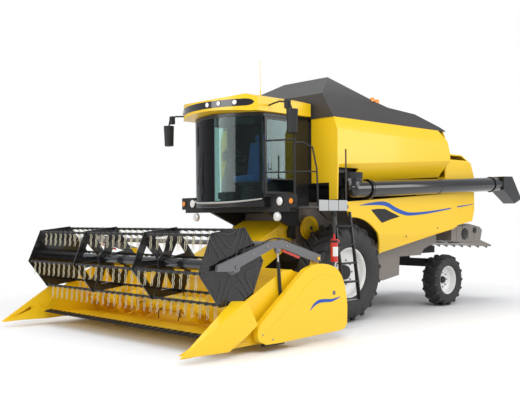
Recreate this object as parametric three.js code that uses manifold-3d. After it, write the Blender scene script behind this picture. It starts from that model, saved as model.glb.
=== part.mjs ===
// A combine harvester with its grain header, standing on its wheels with the header lowered.
// Millimetres. +X is forward, +Y is the machine's left, +Z is up.
// Everything is placed from the point on the ground under the drive axle. At the end the whole
// group is moved along X, so that the origin is on the ground in the middle of the machine.
import * as THREE from "three";
import { mergeVertices } from "three/addons/utils/BufferGeometryUtils.js";
import { ConvexGeometry } from "three/addons/geometries/ConvexGeometry.js";
import Module from "manifold-3d";

const wasm = await Module();
wasm.setup();

// ---------------------------------------------------------------- driving dimensions
const GAP = 0.3; // between faces that touch
const RUNNING = 0.8; // radial, between a round shaft and what it turns in
const CLEAR = 8; // between pieces that move past each other

const driveTyre = { radius: 845, width: 620, rimRadius: 430, outerY: 1450, sides: 24 };
const steerTyre = { radius: 515, width: 360, rimRadius: 285, outerY: 1298, sides: 20 };
const wheelbase = 3170;
const wheelDisc = 16; // thickness of a wheel's disc

const railZ = [1045, 1185];
const railY = [655, 735];
const frameFrontX = 620;
const frameRearX = -3460;

const bodyHalf = 640; // half width of the threshing body
const bodyTopZ = 2050;
const sideY = 1450; // outer face of the side panels
const panelWall = 30;

const tankFrontX = 430;
const tankRearX = -2880;
const tankSideY = 1490;
const tankTopZ = 3440;
const tankWall = 20;
const tankBevel = 175; // how far the tank's side turns in at its foot
const tankRise = 0.063; // the foot of the tank's side climbs towards the rear
const tankFootZ = 2355;
const tankCreaseZ = 2660;
const hopperRearX = -1850;
const extensionPeakZ = 4300;
const extensionSillZ = 3850; // where the folded top begins

const hoodRearX = -3900;
const hoodTopZ = 3030;
const panelRearX = -3190; // seam between the side panel and the rear hood

const cab = { rearX: 470, pillarX: 1500, noseX: 1860, half: 870, floorZ: 2060, roofZ: 3470 };
const cabFloorDepth = 100;
const cabFloorBottom = cab.floorZ - cabFloorDepth;
const cabWall = 45;
const glassWall = 8;
const roofDepth = 290;

const feederPivot = { x: 622, z: 1520, tube: 50, pin: 30 };
const feederHalf = 560;

const lift = {
  baseX: 175, baseZ: 640, eyeX: 1500, eyeZ: 705, y: 430,
  barrel: 52, rod: 26, pin: 20, slack: 13, eyeHalf: 22, barrelLength: 1110, rodLength: 720,
};
const reelLift = {
  baseX: 2590, baseZ: 745, eyeX: 2640, eyeZ: 1325, y: 0,
  barrel: 24, rod: 13, pin: 11, slack: 5, eyeHalf: 13, barrelLength: 445, rodLength: 440,
};

const cutHalf = 2300; // half of the cutting width
const endSheet = 15;
const sheetY = cutHalf + endSheet;
const headerBackX = 2310;
const headerTopZ = 1060;
const knife = { x: 3560, z: 235 };
const crossAuger = { x: 2680, z: 452, tube: 140, flight: 280, pitch: 560 };
const troughGap = 22;
const troughWall = 14;
const tipX = 4357;
const tipY = cutHalf + 135;
const tipZ = 110;
const dividerY = cutHalf + 200; // outermost edge of the dividers

const reel = { x: 3395, z: 1151, vertex: 555, barCircle: 518, half: cutHalf - 15, tube: 78, phase: 53.5, spiderY: 800 };
const tineBarRadius = 17;
const armPivot = { x: 1850, z: 1200, pin: 22 };
const armY = [sheetY + CLEAR, sheetY + CLEAR + 44];
reelLift.y = (armY[0] + armY[1]) / 2;

const augerPivot = { x: 60, y: 1500, z: 2430 }; // where the elbow hangs on its mount
const augerTube = 140; // radius of the unloading tube

// ---------------------------------------------------------------- colours
const paint = (color, roughness, metalness = 0) =>
  new THREE.MeshStandardMaterial({ color, roughness, metalness });
const yellow = paint(0xf7c400, 0.35);
const black = paint(0x1c1c1e, 0.45);
const darkGrey = paint(0x3c3a38, 0.55);
const warmGrey = paint(0x8a837c, 0.5);
const steel = paint(0xb8b8ba, 0.35, 0.9);
const chassisBlack = paint(0x151517, 0.6);
const rubber = paint(0x222222, 0.9);
const white = paint(0xeeeeec, 0.4);
const glass = new THREE.MeshStandardMaterial({ color: 0x9fc4bf, roughness: 0.05, transparent: true, opacity: 0.35 });
const seatCloth = paint(0x1d4f8c, 0.9);
const red = paint(0xcc1f1f, 0.4);

// ---------------------------------------------------------------- building blocks
// A closed geometry as a solid, whichever way its faces were wound.
function solid(geometry) {
  const g = geometry.clone();
  g.deleteAttribute("normal");
  g.deleteAttribute("uv");
  const m = mergeVertices(g, 1e-3);
  const make = (t) =>
    new wasm.Manifold(new wasm.Mesh({ numProp: 3, vertProperties: m.attributes.position.array, triVerts: t }));
  const triangles = new Uint32Array(m.index.array);
  const first = make(triangles);
  if (first.volume() > 0) return first;
  for (let i = 0; i < triangles.length; i += 3)
    [triangles[i + 1], triangles[i + 2]] = [triangles[i + 2], triangles[i + 1]];
  return make(triangles);
}

const join = (...solids) => solids.reduce((a, b) => a.add(b));
const mirrorY = (s) => s.mirror([0, 1, 0]);

function box(x, y, z) {
  const g = new THREE.BoxGeometry(Math.abs(x[1] - x[0]), Math.abs(y[1] - y[0]), Math.abs(z[1] - z[0]));
  return solid(g.translate((x[0] + x[1]) / 2, (y[0] + y[1]) / 2, (z[0] + z[1]) / 2));
}

// An outline of [a, b] points pushed along the third axis: "xz" along Y, "yz" along X, "xy" along Z.
function plate(points, plane, from, to, holes = []) {
  const shape = points instanceof THREE.Shape ? points : new THREE.Shape(points.map(([a, b]) => new THREE.Vector2(a, b)));
  shape.holes.push(...holes);
  const low = Math.min(from, to);
  const depth = Math.abs(to - from);
  const g = new THREE.ExtrudeGeometry(shape, { depth, bevelEnabled: false, curveSegments: 8 });
  const turn = new THREE.Matrix4();
  if (plane === "xz") turn.set(1, 0, 0, 0, 0, 0, -1, low + depth, 0, 1, 0, 0, 0, 0, 0, 1);
  if (plane === "yz") turn.set(0, 0, 1, low, 1, 0, 0, 0, 0, 1, 0, 0, 0, 0, 0, 1);
  if (plane === "xy") turn.makeTranslation(0, 0, low);
  return solid(g.applyMatrix4(turn));
}

const V = (x, y, z) => new THREE.Vector3(x, y, z);

// A round bar from one point to another.
function rod(a, b, radius, sides = 12, endRadius = radius) {
  const along = b.clone().sub(a);
  const g = new THREE.CylinderGeometry(endRadius, radius, along.length(), sides);
  g.applyQuaternion(new THREE.Quaternion().setFromUnitVectors(V(0, 1, 0), along.normalize()));
  return solid(g.translate((a.x + b.x) / 2, (a.y + b.y) / 2, (a.z + b.z) / 2));
}

// A bar bent at each point, its stretches running a little into each other.
function bentRod(points, radius, sides = 6) {
  const stretches = points.slice(1).map((b, i) => {
    const a = points[i];
    const step = b.clone().sub(a).normalize().multiplyScalar(radius * 0.8);
    return rod(i === 0 ? a : a.clone().sub(step), i === points.length - 2 ? b : b.clone().add(step), radius, sides);
  });
  return join(...stretches);
}

const rodY = (x, z, y0, y1, radius, sides = 12) => rod(V(x, y0, z), V(x, y1, z), radius, sides);

// A hole that leaves a round shaft of this radius its running clearance.
const boreSides = 8;
const pinSides = 2 * boreSides; // so that a pin's edges meet the middle of the bore's flats
const boreRadius = (radius, sides = boreSides) => (radius + RUNNING) / Math.cos(Math.PI / sides);
const bore = (a, b, radius) => rod(a, b, boreRadius(radius), boreSides);
const boreY = (x, z, y0, y1, radius) => rodY(x, z, y0, y1, boreRadius(radius), boreSides);

// A ring or disc turned about an axis along Y through (x, z): profile points are [radius, y].
function turned(profile, x, z, segments) {
  const points = profile.map(([r, y]) => new THREE.Vector2(r, y));
  return solid(new THREE.LatheGeometry(points, segments).translate(x, 0, z));
}

const circle = (x, z, radius, sides) => {
  const step = (2 * Math.PI) / sides;
  const corners = [...Array(sides).keys()].map(
    (i) => new THREE.Vector2(x + radius * Math.cos(i * step), z + radius * Math.sin(i * step)),
  );
  return new THREE.Path(corners);
};

const hull = (points) => solid(new ConvexGeometry(points.map((p) => V(...p))));

// ---------------------------------------------------------------- the scene graph
const machine = new THREE.Group();

function add(name, shape, material) {
  const m = shape.getMesh();
  const g = new THREE.BufferGeometry();
  const count = m.numVert;
  const positions = new Float32Array(count * 3);
  for (let i = 0; i < count; i++) positions.set(m.vertProperties.subarray(i * m.numProp, i * m.numProp + 3), i * 3);
  g.setAttribute("position", new THREE.BufferAttribute(positions, 3));
  g.setIndex(new THREE.BufferAttribute(m.triVerts, 1));
  g.computeVertexNormals();
  const mesh = new THREE.Mesh(g, material);
  mesh.name = name;
  machine.add(mesh);
}

// The same piece on the left, at +Y, and on the right.
function addPair(name, left, material) {
  add("left_" + name, left, material);
  add("right_" + name, mirrorY(left), material);
}

// ---------------------------------------------------------------- wheels and axles
// A tyre from its outer face inwards, with rounded shoulders.
function tyre(t, x, segments) {
  const o = t.outerY;
  const i = t.outerY - t.width;
  const s = t.width * 0.16;
  const bead = t.width * 0.12;
  const profile = [
    [t.rimRadius, i + bead],
    [t.rimRadius, o - bead],
    [t.rimRadius + (t.radius - t.rimRadius) * 0.45, o],
    [t.radius - s * 0.55, o - s * 0.25],
    [t.radius, o - s],
    [t.radius, i + s],
    [t.radius - s * 0.55, i + s * 0.25],
    [t.rimRadius + (t.radius - t.rimRadius) * 0.45, i],
    [t.rimRadius, i + bead],
  ];
  return turned(profile, x, t.radius, segments);
}

// A rim: the barrel, and a dished disc whose hub hole runs on the axle's spigot.
function rim(t, x, hubRadius, discY, segments) {
  const bead = t.width * 0.12;
  const o = t.outerY - bead;
  const i = t.outerY - t.width + bead;
  const r = t.rimRadius - GAP;
  const wall = t.rimRadius * 0.05;
  const dish = t.rimRadius * 0.6;
  const profile = [
    [r, i],
    [r - wall, i],
    [r - wall, discY - wheelDisc],
    [dish, discY - wheelDisc * 3],
    [hubRadius, discY - wheelDisc * 3],
    [hubRadius, discY - wheelDisc * 2],
    [dish, discY - wheelDisc * 2],
    [r - wall, discY],
    [r - wall, o],
    [r, o],
    [r, i],
  ];
  return turned(profile, x, t.radius, segments);
}

const driveDiscY = driveTyre.outerY - 190;
const steerDiscY = steerTyre.outerY - 150;
const driveSpigot = 120;
const steerSpigot = 60;

addPair("drive_tyre", tyre(driveTyre, 0, driveTyre.sides), rubber);
addPair("drive_rim", rim(driveTyre, 0, boreRadius(driveSpigot, driveTyre.sides), driveDiscY, driveTyre.sides), white);
addPair("steer_tyre", tyre(steerTyre, -wheelbase, steerTyre.sides), rubber);
addPair("steer_rim", rim(steerTyre, -wheelbase, boreRadius(steerSpigot, steerTyre.sides), steerDiscY, steerTyre.sides), white);

// Drive axle: a beam under the frame with a final drive drum in each rim.
let driveAxle;
const axleHalfX = 120;
const driveDrum = 240;
{
  const z = driveTyre.radius;
  const seat = driveDiscY - wheelDisc * 3 - GAP; // the rim's disc lies against the drum here
  const beam = box([-axleHalfX, axleHalfX], [-900, 900], [z - 100, railZ[0] + 1]);
  const side = (s) =>
    join(
      rodY(0, z, s * 790, s * seat, driveDrum, 24),
      rodY(0, z, s * (seat - 20), s * (driveDiscY + 30), driveSpigot, 12),
    );
  const clevis = [-1, 1].flatMap((s) => [
    ...[-1, 1].map((k) => {
      const y = s * lift.y + k * 34;
      const foot = [[-110, z - 60], [115, z - 60], [lift.baseX + 42, lift.baseZ + 20], [lift.baseX + 30, lift.baseZ - 42], [lift.baseX - 45, lift.baseZ - 42]];
      return plate(foot, "xz", y - 9, y + 9);
    }),
    rodY(lift.baseX, lift.baseZ, s * lift.y - 42, s * lift.y + 42, lift.pin, pinSides),
  ]);
  driveAxle = join(beam, side(1), side(-1), ...clevis);
}

// Steering axle: a high beam with an eye at each end, around the kingpin of a knuckle.
const kingpinY = 815;
const kingpin = { radius: 28, eye: 62 };
const steerBeamZ = [770, 930];
{
  const x = -wheelbase;
  const holes = (s) => bore(V(x, s * kingpinY, 0), V(x, s * kingpinY, 2000), kingpin.radius);
  let beam = join(
    box([x - 75, x + 75], [-kingpinY + 40, kingpinY - 40], steerBeamZ),
    rod(V(x, kingpinY, steerBeamZ[0]), V(x, kingpinY, steerBeamZ[1]), kingpin.eye, 12),
    rod(V(x, -kingpinY, steerBeamZ[0]), V(x, -kingpinY, steerBeamZ[1]), kingpin.eye, 12),
    box([x - 110, x + 110], [-240, 240], [steerBeamZ[1] - 1, railZ[0] - GAP]),
  );
  beam = beam.subtract(holes(1)).subtract(holes(-1));
  add("steer_axle", beam, chassisBlack);

  const z = steerTyre.radius;
  const seat = steerDiscY - wheelDisc * 3 - GAP;
  const knuckle = join(
    rod(V(x, kingpinY, z - 70), V(x, kingpinY, steerBeamZ[0] - 1), kingpin.eye, 12),
    rod(V(x, kingpinY, z), V(x, kingpinY, steerBeamZ[1] + 25), kingpin.radius, pinSides),
    rodY(x, z, kingpinY, seat, 78, 12),
    rodY(x, z, seat - 10, steerDiscY + 10, steerSpigot, 12),
    box([x - 230, x - 40], [kingpinY - 25, kingpinY + 25], [z - 60, z - 25]),
  );
  addPair("steer_knuckle", knuckle, chassisBlack);
}

// ---------------------------------------------------------------- frame and threshing body
const rails = (grow) =>
  join(
    ...[1, -1].map((s) =>
      box([frameRearX, frameFrontX], [s * (railY[0] - grow), s * (railY[1] + grow)], [railZ[0] - grow, railZ[1] + grow]),
    ),
  );
{
  const cross = [-wheelbase - 45, -2200, -1400, -500, 200, frameFrontX - 90];
  const members = cross.map((x) => box([x, x + 90], [-railY[0] - 5, railY[0] + 5], [railZ[0], railZ[1] - 40]));
  add("main_frame", join(rails(0), ...members, driveAxle), chassisBlack);
}
const bodyFloorZ = railZ[1] - 38;
{
  const upper = plate(
    [
      [frameFrontX - 60, bodyFloorZ],
      [frameFrontX - 60, cabFloorBottom - GAP],
      [cab.rearX - 10, cabFloorBottom - GAP],
      [cab.rearX - 10, bodyTopZ],
      [panelRearX + 20, bodyTopZ],
      [panelRearX + 20, 1640],
      [-2750, bodyFloorZ],
    ],
    "xz",
    -bodyHalf,
    bodyHalf,
  );
  // The grey cleaning shoe housing that hangs between the wheels, on both sides of the frame.
  const shoe = plate(
    [
      [-960, railZ[0] - GAP],
      [-960, 640],
      [-1200, 625],
      [-1680, 700],
      [-1700, railZ[0] - GAP],
    ],
    "xz",
    -1150,
    1150,
  );
  const cheek = (s) =>
    plate(
      [
        [-960, railZ[0] - 1],
        [-960, 1300],
        [-2900, 1620],
        [-2900, 1290],
        [-2480, 1160],
        [-2380, railZ[0] - 1],
      ],
      "xz",
      s * 1150,
      s * (railY[1] + 60),
    );
  const throat = box([-1290, -990], [-600, 600], [railZ[0] - 10, bodyFloorZ + 2]);
  add("threshing_body", join(upper, shoe, throat, cheek(1), cheek(-1)), warmGrey);
}

add("engine", box([-2760, -1960], [-480, 480], [bodyTopZ + GAP, 2980]), darkGrey);

// ---------------------------------------------------------------- side panels
// It hinges on a line that runs along under its top edge.
const panelTop = [[230, 2040], [panelRearX, 2255]];
const panelSlope = (panelTop[1][1] - panelTop[0][1]) / (panelTop[1][0] - panelTop[0][0]);
const panelHinge = { x: [60, -2900], y: 1395, below: 42, pin: 9, eye: 27 };
const hingeZ = (x) => panelTop[0][1] - panelHinge.below + (x - panelTop[0][0]) * panelSlope;
const hingePoint = (x, s) => V(x, s * panelHinge.y, hingeZ(x));
const hoodHalf = sideY - 40;
// The long yellow side panel: upright above, turned in at its foot, and cut round the drive tyre.
{
  const section = [
    [sideY - panelWall, 2320],
    [sideY, 2320],
    [sideY, 1500],
    [sideY - 175, 1100],
    [sideY - 175 - panelWall, 1100],
    [sideY - panelWall, 1506],
  ];
  const outline = new THREE.Shape();
  const arch = driveTyre.radius + 95;
  const from = THREE.MathUtils.degToRad(88);
  const to = THREE.MathUtils.degToRad(163);
  outline.moveTo(...panelTop[0]);
  outline.lineTo(arch * Math.cos(from) + 40, driveTyre.radius + arch * Math.sin(from));
  outline.absarc(0, driveTyre.radius, arch, from, to, false);
  outline.lineTo(-970, 1150);
  outline.lineTo(panelRearX, 1585);
  outline.lineTo(...panelTop[1]);
  const skin = plate(section, "yz", panelRearX, 300).intersect(plate(outline, "xz", 1000, 1600));
  const eyes = panelHinge.x.map((x) => rod(hingePoint(x + 6, 1), hingePoint(x + 56, 1), panelHinge.eye, 10));
  const bores = panelHinge.x.map((x) => bore(hingePoint(x - 20, 1), hingePoint(x + 90, 1), panelHinge.pin));
  addPair("side_panel", join(skin, ...eyes).subtract(join(...bores)), yellow);
}

// The deck under the tank, its posts, and the brackets that the side panels hinge on.
{
  const deck = box([panelRearX + 20, tankFrontX - 28 - GAP], [-sideY + 110, sideY - 110], [2330, 2350]);
  const shelf = box([-3700, panelRearX + 21], [-hoodHalf + panelWall + GAP, hoodHalf - panelWall - GAP], [2330, 2350]);
  const posts = [-3000, -1900, -700, 250].map((x) =>
    box([x, x + 50], [-bodyHalf + 40, bodyHalf - 40], [bodyTopZ + GAP, 2331]),
  );
  const opening = box([-2780, -1940], [-500, 500], [2200, 2400]);
  const hang = panelHinge.x.flatMap((x) =>
    [1, -1].map((s) => {
      const z = hingeZ(x);
      const y = panelHinge.y;
      return plate([[1230, 2335], [1290, 2335], [1290, z + 20], [y + 15, z + 20], [y + 15, z - 20], [1230, z - 20]].map(([a, b]) => [s * a, b]), "yz", x - 12, x);
    }),
  );
  const pins = panelHinge.x.flatMap((x) => [1, -1].map((s) => rod(hingePoint(x - 6, s), hingePoint(x + 62, s), panelHinge.pin, pinSides)));
  const p = augerPivot;
  const foot = box([p.x - 150, p.x + 150], [1290, 1338], [2349, p.z + 100]);
  const arm = box([p.x - 120, p.x + 120], [1330, p.y], [p.z, p.z + 100]);
  const ring = rod(V(p.x, p.y, p.z), V(p.x, p.y, p.z + 100), 165, 12);
  const spigot = rod(V(p.x, p.y, p.z - 40), V(p.x, p.y, p.z + 10), 70, pinSides);
  const augerMount = join(foot, arm, ring, spigot);
  add("body_deck", join(deck, augerMount, shelf, ...posts, ...hang).subtract(opening).add(join(...pins)), chassisBlack);
}

// ---------------------------------------------------------------- grain tank
// The hopper is open at the top. Its sides slope in to the floor auger.
{
  const half = tankSideY - tankBevel - panelWall - GAP;
  const outer = box([hopperRearX, tankFrontX - 30], [-half, half], [2350 + GAP, tankTopZ - 20]);
  const hollow = plate(
    [
      [-260, 2400],
      [260, 2400],
      [half - tankWall, 2960],
      [half - tankWall, tankTopZ],
      [-half + tankWall, tankTopZ],
      [-half + tankWall, 2960],
    ],
    "yz",
    hopperRearX + tankWall,
    tankFrontX - 30 - tankWall,
  );
  add("grain_tank", outer.subtract(hollow), darkGrey);
}

// Yellow tank side: bevelled in at the foot and the top, with a front face beside the cab.
{
  const section = [
    [tankSideY - tankBevel, tankFootZ],
    [tankSideY, tankCreaseZ],
    [tankSideY, 3225],
    [tankSideY - 85, tankTopZ],
    [tankSideY - 85 - panelWall, tankTopZ],
    [tankSideY - panelWall, 3222],
    [tankSideY - panelWall, tankCreaseZ + 4],
    [tankSideY - tankBevel - panelWall, tankFootZ + 6],
  ];
  const climb = (x) => (tankFrontX - x) * tankRise;
  const skin = plate(section, "yz", tankRearX, tankFrontX).warp((v) => {
    if (v[2] < 3000) v[2] += climb(v[0]);
  });
  // Cut away at the front for the auger's elbow.
  const outline = [
    [tankFrontX, augerPivot.z + 180],
    [tankFrontX, 3500],
    [-2590, 3500],
    [-2590, tankTopZ],
    [-2790, 3240],
    [tankRearX, 3000],
    [tankRearX, tankCreaseZ + climb(tankRearX) + 10],
    [tankRearX + 190, 2500],
    [augerPivot.x - 220, 2300],
    [augerPivot.x - 220, augerPivot.z + 180],
  ];
  const side = skin.intersect(plate(outline, "xz", 1000, 1600));
  const front = plate(
    [
      [cab.half + 30, 2362],
      [cab.half + 30, tankTopZ],
      [tankSideY - 85, tankTopZ],
      [tankSideY, 3225],
      [tankSideY, tankCreaseZ],
      [tankSideY - 20, 2080],
      [1300, 2080],
      [1300, 2362],
    ],
    "yz",
    tankFrontX - 28,
    tankFrontX,
  );
  const inner = tankSideY - panelWall + 5;
  const rearFoot = tankFootZ + climb(-2800);
  const rear = plate(
    [
      [CLEAR / 2, 2350 + GAP],
      [inner - tankBevel, 2350 + GAP],
      [inner - tankBevel, rearFoot + 8],
      [inner, rearFoot + 8 + tankCreaseZ - tankFootZ],
      [inner, 3222],
      [inner - 82, tankTopZ - 5],
      [CLEAR / 2, tankTopZ - 5],
    ],
    "yz",
    -2800,
    -2780,
  );
  addPair("tank_side", join(side, front, rear), yellow);
}

// Dark extension on top of the tank: a frame with a folded top, which is open at the rear.
{
  const half = tankSideY - 85;
  const sillHalf = 1170;
  const sillX = [tankFrontX + 15, -950];
  const ridge = { x: -370, half: 550 };
  // The walls' outer faces, and their inner faces with a wall taken off.
  const body = (wall) => {
    const side = plate(
      [
        [tankFrontX + 10 - wall, tankTopZ + GAP - wall],
        [sillX[0] - wall, extensionSillZ],
        [sillX[1], extensionSillZ],
        [-1270, 3770 - wall],
        [-2050, 3720 - wall],
        [-2700 + wall, 3520 - wall],
        [-2850 + wall * 2, tankTopZ + 10 - wall],
        [-2850 + wall * 2, tankTopZ + GAP - wall],
      ],
      "xz",
      -half,
      half,
    );
    const lean = plate(
      [
        [-half + wall, tankTopZ - 20],
        [half - wall, tankTopZ - 20],
        [half - wall, tankTopZ + 5],
        [sillHalf - wall, extensionSillZ],
        [-sillHalf + wall, extensionSillZ],
        [-half + wall, tankTopZ + 5],
      ],
      "yz",
      -3000,
      1000,
    );
    return side.intersect(lean);
  };
  // A tent over the sill, rising to a short ridge across the machine. Inside it runs out at the rear.
  const tent = (wall, behind) => {
    const h = sillHalf - wall;
    const foot = [h, -h].flatMap((y) => [sillX[0] - wall, sillX[1] - behind].map((x) => [x, y]));
    const top = [ridge.half - wall, wall - ridge.half].flatMap((y) =>
      [ridge.x - wall, ridge.x - wall - behind * 2].map((x) => [x, y, extensionPeakZ - wall * 1.5]),
    );
    return hull([
      ...foot.map(([x, y]) => [x, y, extensionSillZ - 30]),
      ...foot.map(([x, y]) => [x, y, extensionSillZ]),
      ...top,
    ]);
  };
  const wall = 20;
  const outside = join(body(0), tent(0, 0));
  const inside = join(body(wall), tent(wall, 60));
  add("tank_extension", outside.subtract(inside), darkGrey);
}

// ---------------------------------------------------------------- rear hood and chopper
{
  const outline = [
    [panelRearX - CLEAR, 1600],
    [panelRearX - CLEAR, 2520],
    [tankRearX + 40, 2520],
    [tankRearX + 40, 2640],
    [tankRearX - GAP * 3, 2850],
    [tankRearX - GAP * 3, hoodTopZ],
    [-3540, hoodTopZ],
    [-3760, 2860],
    [hoodRearX + 20, 2600],
    [hoodRearX, 1920],
    [-3820, 1690],
  ];
  const inner = [
    [panelRearX + 10, 1500],
    [panelRearX + 10, 2560],
    [tankRearX + 70, 2560],
    [tankRearX + 70, 2610],
    [tankRearX - panelWall, 2800],
    [tankRearX - panelWall, hoodTopZ - panelWall],
    [-3530, hoodTopZ - panelWall],
    [-3732, 2848],
    [hoodRearX + 50, 2590],
    [hoodRearX + 30, 1920],
    [-3820, 1500],
  ];
  const half = hoodHalf;
  const shell = plate(outline, "xz", -half, half).subtract(plate(inner, "xz", -half + panelWall, half - panelWall));
  const bevel = plate(
    [
      [-half, 1500],
      [half, 1500],
      [half, 2860],
      [half - 90, hoodTopZ + 1],
      [-half + 90, hoodTopZ + 1],
      [-half, 2860],
    ],
    "yz",
    -4000,
    -2500,
  );
  add("rear_hood", shell.intersect(bevel), yellow);
}
{
  const chopper = plate(
    [
      [-3230, 1590],
      [-3230, 1300],
      [-3500, 1270],
      [-4330, 1270],
      [-4400, 1500],
      [-4300, 1570],
      [-3860, 1640],
      [-3700, 1590],
    ],
    "xz",
    -1290,
    1290,
  );
  const mountRails = [1, -1].map((s) => box([-3500, panelRearX + 20 - GAP], [s * 560, s * 630], [1580, 1660]));
  const deflector = plate(
    [
      [-3560, 1290],
      [-3560, 1245],
      [-4330, 1170],
      [-4800, 1140],
      [-4810, 1175],
      [-4330, 1300],
    ],
    "xz",
    -1270,
    1270,
  );
  add("straw_chopper", join(chopper, ...mountRails, deflector), warmGrey);
}

// ---------------------------------------------------------------- cab
// Plan of the cab: straight sides, and a nose that is one arc between the pillars.
function cabPlan(offset, rearX = cab.rearX, nose = cab.noseX, cornerX = cab.pillarX) {
  const half = cab.half + offset;
  const noseX = nose + offset;
  const rise = noseX - cornerX;
  const radius = (half * half + rise * rise) / (2 * rise);
  const centre = noseX - radius;
  const angle = Math.asin(half / radius);
  const s = new THREE.Shape();
  s.moveTo(rearX, -half);
  s.lineTo(cornerX, -half);
  s.absarc(centre, 0, radius, -angle, angle, false);
  s.lineTo(rearX, half);
  return s;
}
const door = { rearX: 800, frontX: cab.pillarX - 12, y: [cab.half + 4, cab.half + 16] };
const doorFootZ = 2165; // clears the lamp bar as it swings
const doorHinge = { x: door.rearX - 11, y: door.y[1] + 7, z: [2300, 3200], pin: 7, eye: 15 };
{
  const floor = plate(cabPlan(0), "xy", cab.floorZ - cabFloorDepth, cab.floorZ);
  const header = plate(cabPlan(0), "xy", cab.roofZ - 60, cab.roofZ);
  const inside = plate(cabPlan(-cabWall, cab.rearX + 60), "xy", cab.floorZ - 1, cab.roofZ + 10);
  const rear = box([cab.rearX, cab.rearX + 40], [-cab.half, cab.half], [cab.floorZ - 1, cab.roofZ]);
  const corners = [1, -1].flatMap((s) => [
    box([cab.rearX, door.rearX - 8], [s * cab.half, s * (cab.half - cabWall)], [cab.floorZ - 1, cab.roofZ]),
    box([cab.pillarX - 40, cab.pillarX + 12], [s * (cab.half - 50), s * (cab.half - 95)], [cab.floorZ - 1, cab.roofZ]),
  ]);
  const sill = box([door.rearX - 10, cab.pillarX + 8], [cab.half - cabWall, cab.half], [cab.floorZ - 1, doorFootZ - 15]);
  const h = doorHinge;
  const lugs = h.z.flatMap((z) => [
    box([h.x - 16, h.x + 5], [cab.half - 5, h.y + 12], [z - 14, z]),
    rod(V(h.x, h.y, z - 2), V(h.x, h.y, z + 62), h.pin, pinSides),
  ]);
  add("cab_frame", join(floor, header.subtract(inside), rear, sill, ...corners, ...lugs), chassisBlack);
}
{
  const z = [cab.floorZ + GAP, cab.roofZ - 60 - GAP];
  const whole = plate(cabPlan(0), "xy", ...z).subtract(plate(cabPlan(-glassWall), "xy", cab.floorZ - 10, cab.roofZ));
  const front = whole.intersect(box([cab.pillarX + 12, 2200], [-1000, 1000], [1900, 3600]));
  const right = whole.intersect(box([door.rearX, 2200], [-1000, -cab.half + 200], [1900, 3600]));
  add("cab_glass", join(front, right), glass);
}
{
  const z = [doorFootZ, cab.roofZ - 68];
  const rim = 42;
  const h = doorHinge;
  const sheet = box([door.rearX, door.frontX], door.y, z);
  const window = box([door.rearX + rim, door.frontX - rim], [0, 1200], [z[0] + rim, z[1] - rim]);
  const low = box([door.rearX + 5, door.frontX - 5], door.y, [2400, 2422]);
  const eyes = h.z.flatMap((k) => [
    rod(V(h.x, h.y, k + 5), V(h.x, h.y, k + 55), h.eye, 10),
    box([h.x, door.rearX + 20], [door.y[0] + 4, h.y + 2], [k + 5, k + 55]),
  ]);
  const bores = h.z.map((k) => bore(V(h.x, h.y, k), V(h.x, h.y, k + 60), h.pin));
  add("cab_door", join(sheet.subtract(window), low, ...eyes).subtract(join(...bores)), chassisBlack);
  const g = [door.y[0] + 3, door.y[0] + 9];
  const pane = box([door.rearX + rim + GAP, door.frontX - rim - GAP], g, [2422 + GAP, z[1] - rim - GAP]);
  add("door_glass", pane, glass);
}
const roofOverhang = 85;
const roofPlan = (extra) => cabPlan(roofOverhang + extra, cab.rearX + 30, cab.noseX + 85, cab.pillarX + 200);
// Roof: a shallow lid that stands out over the screen, with a sloping brow.
{
  const brow = 90;
  const base = plate(roofPlan(0), "xy", cab.roofZ + GAP, cab.roofZ + roofDepth);
  const profile = [
    [cab.rearX - 20, cab.roofZ],
    [cab.rearX - 20, cab.roofZ + roofDepth - 60],
    [cab.rearX + 200, cab.roofZ + roofDepth - 10],
    [cab.pillarX, cab.roofZ + roofDepth],
    [cab.noseX - 60, cab.roofZ + roofDepth - 20],
    [cab.noseX + 180, cab.roofZ + brow + 120],
    [cab.noseX + 180, cab.roofZ + brow - 50],
    [cab.noseX - 80, cab.roofZ],
  ];
  const crown = plate(
    [
      [-1010, cab.roofZ],
      [1010, cab.roofZ],
      [1010, cab.roofZ + 190],
      [760, cab.roofZ + roofDepth - 15],
      [0, cab.roofZ + roofDepth],
      [-760, cab.roofZ + roofDepth - 15],
      [-1010, cab.roofZ + 190],
    ],
    "yz",
    0,
    2400,
  );
  // A whip aerial on the left front corner.
  const foot = V(1575, cab.half + 10, cab.roofZ + roofDepth - 60);
  const whip = join(rod(foot, V(foot.x, foot.y, 3790), 11, 8), rod(foot, V(foot.x, foot.y, 4270), 5, 6, 3));
  const lid = base.intersect(plate(profile, "xz", -1100, 1100)).intersect(crown);
  add("cab_roof", join(lid, whip), yellow);
}
// Seat, with its pedestal, and the steering column in front of it.
{
  const z = cab.floorZ + GAP;
  const seat = join(
    box([820, 1080], [-180, 180], [z, z + 330]),
    box([740, 1210], [-250, 250], [z + 329, z + 450]),
    plate([[760, z + 449], [880, z + 449], [780, z + 1090], [690, z + 1090]], "xz", -235, 235),
    box([760, 1150], [-330, -255], [z + 500, z + 590]),
    box([780, 860], [-331, -240], [z + 400, z + 520]),
  );
  const column = join(
    plate([[1440, z], [1600, z], [1470, z + 720], [1400, z + 720]], "xz", -70, 70),
    rod(V(1330, 0, z + 775), V(1350, 0, z + 810), 195, 12),
    rod(V(1440, 0, z + 690), V(1338, 0, z + 790), 30, 10),
  );
  const mat = box([700, 1620], [-400, 400], [z, z + 12]);
  add("cab_interior", join(seat, column, mat), seatCloth);
}

const platformX = [420, 1322];
const platformY = [905, 1700];
const platformZ = [1925, 1960];
const post = { x: 705, y: 1655, radius: 24 };
const ladderX = [280, 660]; // its two stiles
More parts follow.
